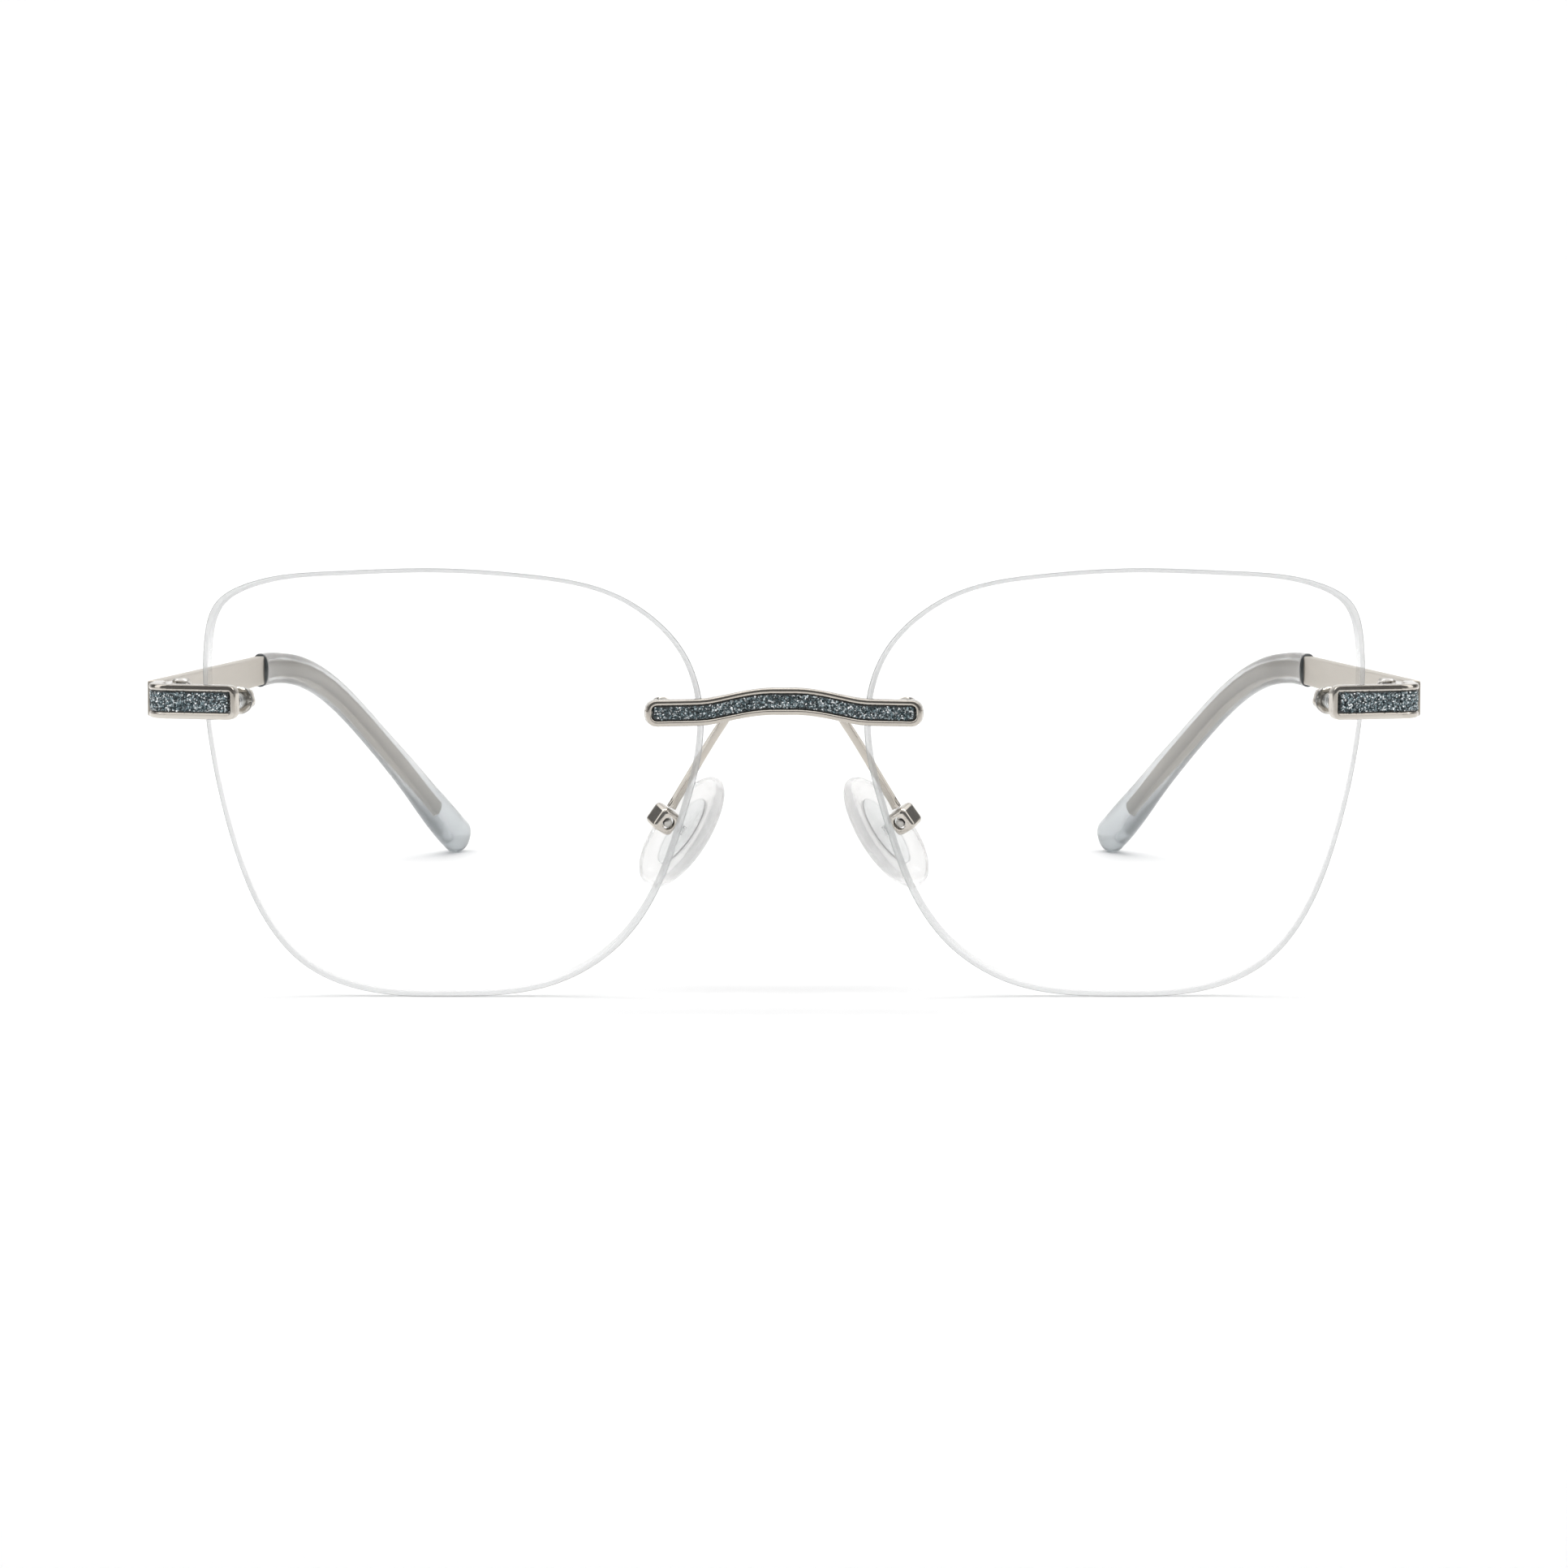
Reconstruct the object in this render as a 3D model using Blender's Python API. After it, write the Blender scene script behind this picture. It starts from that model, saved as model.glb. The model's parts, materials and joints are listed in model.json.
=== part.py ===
"""Rimless eyeglasses: two drilled lenses, a bridge and end pieces bolted to them, folding temples
and rocking nose pads. Written in millimetres and turned into metres where each mesh is made.
X runs to the wearer's left, the front faces -Y, Z is up, and the glasses stand on Z = 0."""

import math

import bmesh
import bpy
import numpy as np
from mathutils import Vector

MM = 0.001
Y_SHIFT = -68.64           # moves the glasses so that the origin is under their middle

# Lenses
LENS_OUTLINE = [
    (63.75, 34.6), (63.65, 39.6), (62.4, 43.8), (58.65, 46.1), (49.0, 47.45), (38.5, 47.8),
    (28.0, 47.15), (18.65, 45.1), (14.25, 42.4), (10.85, 38.55), (9.0, 33.2), (9.0, 27.7),
    (10.8, 20.4), (13.35, 13.1), (18.2, 5.75), (26.0, 1.15), (36.4, 0.0), (46.6, 0.6),
    (53.3, 3.45), (57.75, 8.9), (60.8, 16.9), (62.85, 26.2),
]
LENS_MIDDLE = (36.4, 24.0)
LENS_STEPS = 4             # points between two outline points
LENS_RADIUS = 106.0        # base curve of the front face
LENS_THICK = 1.9
LENS_APEX = (36.4, -1.0, 32.3)
LENS_BEVEL = 0.28
LENS_RINGS = (0.12, 0.45, 0.75, 0.93)
HOLE_R = 1.0

# Fixings through the lenses: profiles of (radius, height) with the height from the lens's front face
BRIDGE_STUD = (13.0, 31.95)
END_STUD = (60.5, 33.08)
STUD = [(0.6, -0.06), (0.6, 3.3), (0.45, 3.45)]
SLEEVE = [(0.95, 0.1), (0.95, 1.8), (0.65, 1.8), (0.65, 0.1)]
WASHER = [(1.45, 1.98), (1.55, 2.06), (1.55, 2.26), (1.45, 2.34), (0.66, 2.34), (0.66, 1.98)]
NUT_AT = 2.4               # the nut's own heights start here
NUT_DOME = [(0.9, 1.62), (1.2, 1.42)]
NUT_FLATS = [(1.38, 1.1), (1.42, 0.3), (1.3, 0.0)]
NUT_BORE = [(0.68, 0.0), (0.68, 1.3)]
FLAT_CUT = 0.055           # how far the nut's six flats come in, as a share of its radius
PLATE_GAP = 0.12           # between a metal plate and the lens in front of which it sits

# Bridge
BRIDGE_HALF = 15.3
BRIDGE_THICK = 1.45
BRIDGE_RIM = 0.62
BRIDGE_FLAT = 8.5          # from here outward the bridge lies along the lens
BRIDGE_MIDDLE_Y = 2.42     # its back face in the middle of the arch
BRIDGE_TOP_Z = 33.17
BRIDGE_CORNER = 1.15
CHANNEL_DEPTH = 0.45

# End pieces and hinges
END_START = 59.6
END_OUTER = 70.05
END_THICK = 1.3
END_RIM = 0.7
END_HALF_H = 1.9
END_Z = 33.08
END_REAR = 7.9
END_LEAN = math.radians(13.5)
END_TURN_R = 1.6           # inside the bend
END_CORNER = 0.95
HINGE_X = 67.3
HINGE_Y = 9.5
KNUCKLE_R = 1.15
BORE_R = 0.61
PIN = [(0.45, 31.35), (0.55, 31.45), (0.55, 34.64), (0.95, 34.66), (0.98, 34.85), (0.8, 35.05)]
PIN_SLOT = 0.12            # half the width of the slot in the pin's head
PIN_SLOT_Z = 34.83
FRONT_LEAF_Y = (5.3, 7.85)
FRONT_LEAF_Z = (31.25, 34.7)
FRONT_BARREL_Z = (32.35, 33.6)
REAR_LEAF_Y = (8.4, 14.6)
REAR_LEAF_Z = (31.3, 34.45)
REAR_BARRELS_Z = {"low": (31.3, 32.25), "high": (33.7, 34.6)}

# Temples
BAR_START = (70.2, 8.15, 32.95)
BAR_END = (68.8, 81.5, 30.65)
BAR_HALF_W = 0.65
SOCKET = 1.3               # how far the bar goes into the tip
TIP_ROUTE = [
    (68.8, 81.5, 30.65), (67.45, 86.5, 30.6), (65.5, 91.6, 29.95), (63.7, 97.0, 28.5),
    (61.9, 102.2, 26.3), (59.9, 107.4, 23.3), (57.2, 114.0, 18.75), (54.05, 121.2, 13.35),
    (51.25, 128.0, 8.1), (49.05, 133.4, 4.15), (48.05, 135.9, 2.48),
]

# Nose pads
PAD_LONG = Vector((0.573, 0.0, -0.8195))
BOX_FACE = Vector((-0.688, 0.543, -0.481))
BOX_ACROSS = PAD_LONG.cross(BOX_FACE).normalized()
PAD_TURN = math.radians(8.0)       # the pad is moulded a little askew on its lug
PAD_FACE = BOX_FACE * math.cos(PAD_TURN) + BOX_ACROSS * math.sin(PAD_TURN)
PAD_ACROSS = BOX_ACROSS * math.cos(PAD_TURN) - BOX_FACE * math.sin(PAD_TURN)
PAD_ARM = [
    (6.3, 3.35, 32.9), (6.3, 3.35, 31.9), (6.55, 4.05, 30.9), (8.3, 6.6, 28.0),
    (11.95, 11.75, 21.6), (12.71, 12.2, 20.24),
]
PAD_ARM_HALF_W = 0.62
PAD_ARM_HALF_T = 0.3
BOX_AT = Vector((13.6, 12.2, 19.0))
BOX_HALF = 1.36
BOX_ROUND = 0.6
HOLLOW_HALF = 0.88
WINDOW_R = 0.78
PAD_SCREW = [(0.3, -1.42), (0.5, -1.3), (0.5, -1.0), (0.33, -0.95), (0.33, 1.35), (0.22, 1.5)]
THREAD_R = 0.42
EYE_R = 0.4
LUG_HALF = 0.55
PAD_OUT = 3.3              # from the box's middle to the pad's middle
PAD_DOWN = 0.15            # how far the pad's middle lies below the box's, along the pad
PAD_HALF_L = 7.3
PAD_HALF_W = 3.85
PAD_HALF_T = 1.1
PLATE_HALF_L = 4.4
PLATE_HALF_W = 1.9
FIT = 0.06                 # clearance round a part that sits inside another

METAL = (0.66, 0.62, 0.56)
FAMILIES = {
    "lens": ((0.95, 0.97, 0.98), 0.0, 0.03, 0.25),
    "metal": (METAL, 1.0, 0.22, 1.0),
    "satin": ((0.72, 0.68, 0.62), 1.0, 0.38, 1.0),
    "glitter": ((0.20, 0.26, 0.28), 0.2, 0.35, 1.0),
    "clear": ((0.93, 0.94, 0.94), 0.0, 0.15, 0.6),
    "acetate": ((0.62, 0.66, 0.68), 0.0, 0.2, 0.85),
    "steel": ((0.55, 0.54, 0.52), 1.0, 0.3, 1.0),
}

for old in list(bpy.data.objects):
    bpy.data.objects.remove(old, do_unlink=True)


def finish_of(name, family):
    """A Principled material of the given family, named after its piece."""
    color, metallic, roughness, alpha = FAMILIES[family]
    material = bpy.data.materials.new(name)
    material.use_nodes = True
    shader = material.node_tree.nodes["Principled BSDF"]
    shader.inputs["Base Color"].default_value = (*color, 1.0)
    shader.inputs["Metallic"].default_value = metallic
    shader.inputs["Roughness"].default_value = roughness
    shader.inputs["Alpha"].default_value = alpha
    return material


def solid(name, shape, side, family=None, origin=(0.0, 0.0, 0.0), crisp=35.0):
    """An object from points in millimetres, mirrored for the right-hand side, with its origin where asked."""
    points, faces = shape
    here = Vector((origin[0] * side, origin[1] + Y_SHIFT, origin[2]))
    places = [(Vector((x * side, y + Y_SHIFT, z)) - here) * MM for x, y, z in points]
    mesh = bpy.data.meshes.new(name)
    mesh.from_pydata(places, [], faces)
    body = bmesh.new()
    body.from_mesh(mesh)
    bmesh.ops.recalc_face_normals(body, faces=body.faces)
    for face in body.faces:
        face.smooth = True
    for edge in body.edges:
        edge.smooth = edge.calc_face_angle(0.0) < math.radians(crisp)
    body.to_mesh(mesh)
    body.free()
    made = bpy.data.objects.new(name, mesh)
    made.location = here * MM
    bpy.context.scene.collection.objects.link(made)
    if family:
        mesh.materials.append(finish_of(name, family))
    else:
        made.hide_render = True
        made.display_type = "WIRE"
    return made


def combine(target, other, operation):
    """Adds or removes one shape with a Boolean modifier."""
    step = target.modifiers.new(operation.lower(), "BOOLEAN")
    step.operation = operation
    step.solver = "EXACT"
    step.object = other


# Shapes: each is a list of points and a list of faces.

def stack(rings, ends=True, loop=False):
    """A skin over rings of equal length, with its ends closed, or with the last ring joined to the first."""
    count = len(rings[0])
    points = [p for ring in rings for p in ring]
    faces = []
    for k in range(len(rings) if loop else len(rings) - 1):
        low = k * count
        high = (k + 1) % len(rings) * count
        for i in range(count):
            j = (i + 1) % count
            faces.append((low + i, low + j, high + j, high + i))
    if ends and not loop:
        faces.append(tuple(range(count)))
        faces.append(tuple(range(len(points) - count, len(points))))
    return points, faces


def ring_around(middle, across, up, half_w, half_h, count=20, square=2.0):
    """A closed ring: an ellipse for square = 2, nearly a rectangle for larger values."""
    ring = []
    for i in range(count):
        angle = 2 * math.pi * (i + 0.5) / count
        c, s = math.cos(angle), math.sin(angle)
        u = math.copysign(abs(c) ** (2 / square), c) * half_w
        v = math.copysign(abs(s) ** (2 / square), s) * half_h
        ring.append(middle + across * u + up * v)
    return ring


def ring_box(middle, across, up, half_w, half_h, corner=0.25):
    """A closed ring round a rectangle with rounded corners, twenty points long."""
    ring = []
    for k in range(20):
        angle = math.pi / 2 * (k // 5 + (k % 5) / 4)
        right = 1 if k // 5 in (0, 3) else -1
        high = 1 if k // 5 in (0, 1) else -1
        ring.append(middle + across * (right * (half_w - corner) + corner * math.cos(angle))
                    + up * (high * (half_h - corner) + corner * math.sin(angle)))
    return ring


def turned(profile, at, axis, count=20):
    """Rings from a profile of (radius, height) pairs turned about an axis."""
    axis = Vector(axis).normalized()
    across = axis.orthogonal().normalized()
    up = axis.cross(across)
    at = Vector(at)
    turns = [2 * math.pi * i / count for i in range(count)]
    spokes = [across * math.cos(t) + up * math.sin(t) for t in turns]
    return [[at + axis * height + spoke * radius for spoke in spokes] for radius, height in profile]


def rod(profile, at, axis, count=20):
    """A solid turned shape."""
    return stack(turned(profile, at, axis, count))


def tube(profile, at, axis, count=20):
    """A turned shape whose profile is a closed loop, so it has a hole through it."""
    return stack(turned(profile, at, axis, count), loop=True)


def block(low, high, frame=None):
    """A box between two corners, in a frame of (origin, x, y, z) vectors or in the world's."""
    origin, x, y, z = frame or (Vector(), Vector((1, 0, 0)), Vector((0, 1, 0)), Vector((0, 0, 1)))
    corners = [origin + x * a + y * b + z * c
               for c in (low[2], high[2]) for b in (low[1], high[1]) for a in (low[0], high[0])]
    return corners, [(0, 1, 3, 2), (4, 6, 7, 5), (0, 4, 5, 1), (2, 3, 7, 6), (0, 2, 6, 4), (1, 5, 7, 3)]


def rounded(shape, radius, segments=2):
    """The same shape with its edges rounded."""
    body = bmesh.new()
    verts = [body.verts.new(p) for p in shape[0]]
    for face in shape[1]:
        body.faces.new([verts[i] for i in face])
    bmesh.ops.recalc_face_normals(body, faces=body.faces)
    bmesh.ops.bevel(body, geom=body.edges[:], offset=radius, segments=segments, profile=0.5,
                    affect="EDGES", material=-1)
    body.verts.index_update()
    result = [v.co.copy() for v in body.verts], [tuple(v.index for v in f.verts) for f in body.faces]
    body.free()
    return result


def plan_prism(outline, z_low, z_high):
    """A flat outline in X and Y stood up between two heights."""
    return stack([[Vector((x, y, z)) for x, y in outline] for z in (z_low, z_high)])


def smooth_loop(points, steps):
    """A closed curve with continuous curvature through the points."""
    pts = np.array(points)
    count = len(pts)
    gap = np.linalg.norm(np.roll(pts, -1, 0) - pts, axis=1)
    before = np.roll(gap, 1)
    matrix = np.zeros((count, count))
    right = np.zeros_like(pts)
    for i in range(count):
        matrix[i, i - 1] = before[i]
        matrix[i, i] = 2 * (before[i] + gap[i])
        matrix[i, (i + 1) % count] = gap[i]
        ahead = (pts[(i + 1) % count] - pts[i]) / gap[i]
        behind = (pts[i] - pts[i - 1]) / before[i]
        right[i] = 6 * (ahead - behind)
    bend = np.linalg.solve(matrix, right)
    curve = []
    for i in range(count):
        j = (i + 1) % count
        for k in range(steps):
            t = gap[i] * k / steps
            slope = (pts[j] - pts[i]) / gap[i] - gap[i] * (2 * bend[i] + bend[j]) / 6
            change = (bend[j] - bend[i]) / gap[i]
            curve.append(pts[i] + slope * t + bend[i] * t * t / 2 + change * t ** 3 / 6)
    return curve


def smooth_path(points, steps):
    """A curve through points in space."""
    pts = [Vector(p) for p in points]
    pts = [pts[0] * 2 - pts[1]] + pts + [pts[-1] * 2 - pts[-2]]
    path = []
    for a, b, c, d in zip(pts, pts[1:], pts[2:], pts[3:]):
        for k in range(steps):
            t = k / steps
            path.append(0.5 * (2 * b + (c - a) * t + (2 * a - 5 * b + 4 * c - d) * t * t
                               + (3 * b - a - 3 * c + d) * t ** 3))
    return path + [pts[-2]]


# Lenses

def lens_y(x, z, depth=0.0):
    """How far back the lens surface lies, at a depth below the front face."""
    across, high = x - LENS_APEX[0], z - LENS_APEX[2]
    radius = LENS_RADIUS - depth
    return LENS_APEX[1] + LENS_RADIUS - math.sqrt(radius * radius - across * across - high * high)


def lens_point(x, z, depth):
    """The point at a depth below the front face, on a line square to that face."""
    centre = Vector((LENS_APEX[0], LENS_APEX[1] + LENS_RADIUS, LENS_APEX[2]))
    start = Vector((x, lens_y(x, z, LENS_BEVEL), z))
    return centre + (start - centre) * ((LENS_RADIUS - depth) / (LENS_RADIUS - LENS_BEVEL))


def lens_axis(x):
    """The direction through the lens, front to back, at the height of the fixings."""
    return Vector((LENS_APEX[0] - x, LENS_RADIUS + LENS_APEX[1] - lens_y(x, LENS_APEX[2]), 0.0)).normalized()


def lens_shape():
    """The ground lens: two curved faces, a square edge and a small bevel on both sides of it."""
    edge = smooth_loop(LENS_OUTLINE, LENS_STEPS)
    count = len(edge)
    inner = []
    for i in range(count):
        along = edge[(i + 1) % count] - edge[i - 1]
        inward = np.array((-along[1], along[0])) / np.linalg.norm(along)
        toward = np.array(LENS_MIDDLE) - edge[i]
        inner.append(edge[i] + LENS_BEVEL * inward * math.copysign(1.0, inward @ toward))
    middle = np.array(LENS_MIDDLE)

    def ring(flat, depth):
        return [lens_point(x, z, depth) for x, z in flat]

    faces_in = [[middle + (p - middle) * s for p in inner] for s in LENS_RINGS] + [inner]
    rings = [ring(flat, 0.0) for flat in faces_in]
    rings += [ring(edge, LENS_BEVEL), ring(edge, LENS_THICK - LENS_BEVEL)]
    rings += [ring(flat, LENS_THICK) for flat in reversed(faces_in)]
    return stack(rings)


# Metal plates with a sunk channel

def plate_columns(start, end, half_h, corner, inset, mids, square_end=False):
    """Half heights along a plate with rounded ends, shrunk all round by an inset."""
    columns = []
    for k in range(5):
        angle = math.pi / 2 * k / 4
        columns.append((start + corner - (corner - inset) * math.cos(angle),
                        half_h(start) - corner + (corner - inset) * math.sin(angle)))
    columns += [(s, half_h(s) - inset) for s in mids]
    tail = 0.3 if square_end else corner
    reach = max(tail - inset, 0.02)
    for k in range(4, -1, -1):
        angle = math.pi / 2 * k / 4
        columns.append((end - inset - reach + reach * math.cos(angle),
                        half_h(end) - inset - reach + reach * math.sin(angle)))
    return columns


def plate_shape(layers, mids, start, end, half_h, middle, corner, bend, square_end=False):
    """Layers of (inset, height above the back face), bent so that the back follows a route."""
    rings = []
    for inset, height in layers:
        columns = plate_columns(start, end, half_h, corner, inset, mids, square_end)
        ring = [bend(s, middle(s) + h, height) for s, h in columns]
        ring += [bend(s, middle(s) - h, height) for s, h in reversed(columns)]
        rings.append(ring)
    points, faces = stack(rings, ends=False)
    count = len(rings[0])
    for base in (0, (len(rings) - 1) * count):
        for i in range(count // 2 - 1):
            faces.append((base + i, base + i + 1, base + count - 2 - i, base + count - 1 - i))
    return points, faces


RIM_LAYERS = [(0.12, 0.0), (0.0, 0.12)]


def channel_layers(thick, rim):
    """A plate's outside, its raised rim and the floor of its channel."""
    return RIM_LAYERS + [(0.0, thick - 0.28), (0.08, thick - 0.09), (0.26, thick), (rim - 0.16, thick),
                         (rim, thick - 0.13), (rim, thick - CHANNEL_DEPTH)]


def inlay_layers(thick, rim):
    """The strip that lies in the channel, a little below the rim."""
    low, high = thick - CHANNEL_DEPTH + 0.04, thick - 0.1
    return [(rim + 0.05, low), (rim + 0.05, high - 0.08), (rim + 0.16, high)]


def blend(x, knots):
    """A smooth value through a few (position, value) pairs, the same on both sides of the middle."""
    x = abs(x)
    for (x0, v0), (x1, v1) in zip(knots, knots[1:]):
        if x <= x1:
            t = (x - x0) / (x1 - x0)
            return v0 + (v1 - v0) * t * t * (3 - 2 * t)
    return knots[-1][1]


def bridge_back(x):
    """Where the bridge's back face lies: on the lenses at the ends, arched a little between them."""
    x = abs(x)
    if x >= BRIDGE_FLAT:
        return lens_y(x, LENS_APEX[2]) - PLATE_GAP
    edge = lens_y(BRIDGE_FLAT, LENS_APEX[2]) - PLATE_GAP
    slope = (BRIDGE_FLAT - LENS_APEX[0]) / LENS_RADIUS
    t = x / BRIDGE_FLAT
    rise = (edge - BRIDGE_MIDDLE_Y) * t * t * (3 - 2 * t)
    return BRIDGE_MIDDLE_Y + rise + slope * BRIDGE_FLAT * t * t * (t - 1)


def bridge_bend(s, z, height):
    """A point of the bridge at a height in front of its back face."""
    slope = (bridge_back(s + 0.05) - bridge_back(s - 0.05)) / 0.1
    out = Vector((slope, -1.0, 0.0)).normalized()
    return Vector((s, bridge_back(s), z)) + out * height


def bridge_middle(s):
    """The height of the bridge's middle line, level over the nose and lower on the lenses."""
    return blend(max(abs(s), 1.0), [(1.0, BRIDGE_TOP_Z), (10.0, BRIDGE_STUD[1])])


def bridge_half_h(s):
    """Half the bridge's height, a little less at its ends."""
    return blend(max(abs(s), 2.0), [(2.0, 1.49), (12.0, 1.46)])


def bridge_shape(layers):
    """The bridge bar or its inlay, from the layers of its section."""
    reach = BRIDGE_HALF - 1.3
    mids = [-reach + 2 * reach * k / 31 for k in range(1, 31)]
    return plate_shape(layers, mids, -BRIDGE_HALF, BRIDGE_HALF, bridge_half_h, bridge_middle,
                       BRIDGE_CORNER, bridge_bend)


def end_bend(s, z, height):
    """The end piece's route: along the lens, round the corner and back to the hinge."""
    inner_x = END_OUTER - END_THICK
    turn_x = inner_x - END_TURN_R * (1 - math.sin(END_LEAN))
    first = (turn_x - END_START) / math.cos(END_LEAN)
    start_y = lens_y(END_START, LENS_APEX[2]) - PLATE_GAP - 0.03
    arc = END_TURN_R * (math.pi / 2 - END_LEAN)
    if s <= first:
        angle = END_LEAN
        x, y = END_START + s * math.cos(angle), start_y + s * math.sin(angle)
    else:
        turn_y = start_y + first * math.sin(END_LEAN)
        middle_x = turn_x - END_TURN_R * math.sin(END_LEAN)
        middle_y = turn_y + END_TURN_R * math.cos(END_LEAN)
        angle = END_LEAN + min(s - first, arc) / END_TURN_R
        x = middle_x + END_TURN_R * math.sin(angle)
        y = middle_y - END_TURN_R * math.cos(angle) + max(0.0, s - first - arc)
    return Vector((x + height * math.sin(angle), y - height * math.cos(angle), z))


def end_length():
    """The route's length up to the end piece's rear face."""
    low, high = 5.0, 20.0
    for _ in range(40):
        mid = (low + high) / 2
        if end_bend(mid, 0.0, 0.0).y < END_REAR:
            low = mid
        else:
            high = mid
    return low


def end_shape(layers):
    """The end piece or its inlay, with more stations where it turns the corner."""
    length = end_length()
    mids = [1.5, 3.5, 5.5, 7.3, 8.0] + [8.2 + 0.25 * k for k in range(9)] + [10.6, length - 0.8]
    return plate_shape(layers, mids, 0.0, length, lambda s: END_HALF_H, lambda s: END_Z,
                       END_CORNER, end_bend, True)


def knuckle(first, last, corners, heights):
    """A hinge barrel, round from the first angle to the last, with an arm out to the given corners."""
    turns = [first + (last - first) * k / 14 for k in range(15)]
    outline = [(HINGE_X + KNUCKLE_R * math.cos(t), HINGE_Y + KNUCKLE_R * math.sin(t)) for t in turns]
    return plan_prism(outline + corners, *heights)


def hinge_bore(name, side):
    """The cutter for the pin's hole."""
    return solid(name, rod([(BORE_R, 30.0), (BORE_R, 36.0)], (HINGE_X, HINGE_Y, 0), (0, 0, 1)), side)


def straight_bar():
    """The bar's direction, and the directions outward and up from it."""
    along = (Vector(BAR_END) - Vector(BAR_START)).normalized()
    out = along.cross(Vector((0, 0, 1))).normalized()
    return along, out, out.cross(along)


def tip_curve():
    """The tip's route, setting off in line with the bar, with the length up to each point."""
    lead = Vector(BAR_END) - straight_bar()[0] * 5
    route = smooth_path([lead] + TIP_ROUTE, 8)[8:]
    lengths = [0.0]
    for a, b in zip(route, route[1:]):
        lengths.append(lengths[-1] + (b - a).length)
    return route, lengths


ROUTE, LENGTHS = tip_curve()
TIP_LENGTH = LENGTHS[-1]
CORE_END = TIP_LENGTH * 0.87


def on_route(length):
    """The point at a length along the tip, carrying straight on past either end."""
    i = 0
    while i < len(ROUTE) - 2 and LENGTHS[i + 1] < length:
        i += 1
    return ROUTE[i].lerp(ROUTE[i + 1], (length - LENGTHS[i]) / (LENGTHS[i + 1] - LENGTHS[i]))


def tip_place(length):
    """A point of the tip's route with the directions along, outward and up."""
    along = (on_route(length + 0.6) - on_route(length - 0.6)).normalized()
    out = along.cross(Vector((0, 0, 1))).normalized()
    return on_route(length), along, out, out.cross(along)


def core_rings(first, spare):
    """The core inside the tip, or the slot for it when spare is the clearance round it."""
    rings = []
    stations = [first + (CORE_END - first) * k / 14 for k in range(15)]
    for length in stations:
        place, along, out, up = tip_place(length)
        slim = 0.14 * length / TIP_LENGTH
        rings.append(ring_box(place, out, up, 0.46 - slim + spare, 1.0 - slim + spare, 0.2))
    place, along, out, up = tip_place(CORE_END + 0.45 + spare)
    rings.append(ring_box(place, out, up, 0.2 + spare, 0.5 + spare, 0.15))
    return rings


def temple_shape():
    """The flat bar, and the thinner core that carries on inside the tip."""
    start, end = Vector(BAR_START), Vector(BAR_END)
    along, out, up = straight_bar()
    rings = []
    for t, half_w, half_h in ((0.0, BAR_HALF_W - 0.1, 1.88), (0.0015, BAR_HALF_W, 1.98),
                              (0.5, BAR_HALF_W, 1.92), (1.0, BAR_HALF_W, 1.86)):
        rings.append(ring_box(start.lerp(end, t), out, up, half_w, half_h))
    place, along, out, up = tip_place(SOCKET)
    rings.append(ring_box(place, out, up, BAR_HALF_W, 1.86))
    return stack(rings + core_rings(SOCKET, 0.0))


def tip_shape():
    """The sleeve over the temple's end: a swelling drop with a slot inside for the core."""
    outer = []
    for k in range(21):
        t = k / 20
        place, along, out, up = tip_place(TIP_LENGTH * t)
        half_h = blend(t, [(0.0, 2.2), (0.12, 2.02), (0.55, 1.98), (0.93, 2.62), (1.0, 2.55)])
        half_w = blend(t, [(0.0, 1.08), (0.3, 1.25), (0.8, 1.4), (1.0, 1.35)])
        if k == 0:
            outer.append(ring_around(place, out, up, half_w - 0.14, half_h - 0.14, 20, 3.2))
            place = on_route(0.14)
        outer.append(ring_around(place, out, up, half_w, half_h, 20, 3.2 - 0.6 * t))
    for turn in (30, 55, 75, 86):
        bend = math.radians(turn)
        outer.append(ring_around(place + along * 2.45 * math.sin(bend), out, up,
                                 half_w * math.cos(bend), half_h * math.cos(bend), 20, 2.4))
    socket = []
    for length in (0.0, SOCKET + 0.05):
        place, along, out, up = tip_place(length)
        socket.append(ring_box(place, out, up, BAR_HALF_W + 0.07, 1.94))
    return stack(list(reversed(outer)) + socket + core_rings(SOCKET + 0.05, 0.06))


def pad_arm_shape():
    """A flat wire from the bridge to the pad's box, turning a little as it goes."""
    route = smooth_path(PAD_ARM, 3)
    rings = []
    for i, place in enumerate(route):
        along = (route[min(i + 1, len(route) - 1)] - route[max(i - 1, 0)]).normalized()
        wide = Vector((1, 0, 0)).lerp(Vector((0.8, -0.6, 0)), min(1.0, i / 7))
        wide = (wide - along * wide.dot(along)).normalized()
        rings.append(ring_around(place, wide, wide.cross(along), PAD_ARM_HALF_W, PAD_ARM_HALF_T, 12, 3.2))
    return stack(rings)


def pad_middle():
    """The middle of the nose pad."""
    return BOX_AT + BOX_FACE * PAD_OUT + PAD_LONG * PAD_DOWN


def pad_shape():
    """A drop-shaped cushion: flat behind, gently domed on the side that rests on the nose."""
    at = pad_middle()
    rings = []
    for scale, height in ((0.30, -0.86), (0.62, -0.92), (0.84, -1.0), (0.93, -0.92), (0.985, -0.55),
                          (1.0, -0.05), (0.975, 0.4), (0.89, 0.78), (0.7, 1.0), (0.42, 1.1), (0.15, 1.14)):
        ring = []
        for k in range(30):
            angle = 2 * math.pi * k / 30
            long = PAD_HALF_L * scale * math.cos(angle)
            wide = PAD_HALF_W * scale * math.sin(angle) * (1.0 + 0.1 * math.cos(angle))
            ring.append(at + PAD_LONG * long + PAD_ACROSS * wide + PAD_FACE * PAD_HALF_T * height)
        rings.append(ring)
    return stack(rings)


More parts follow.
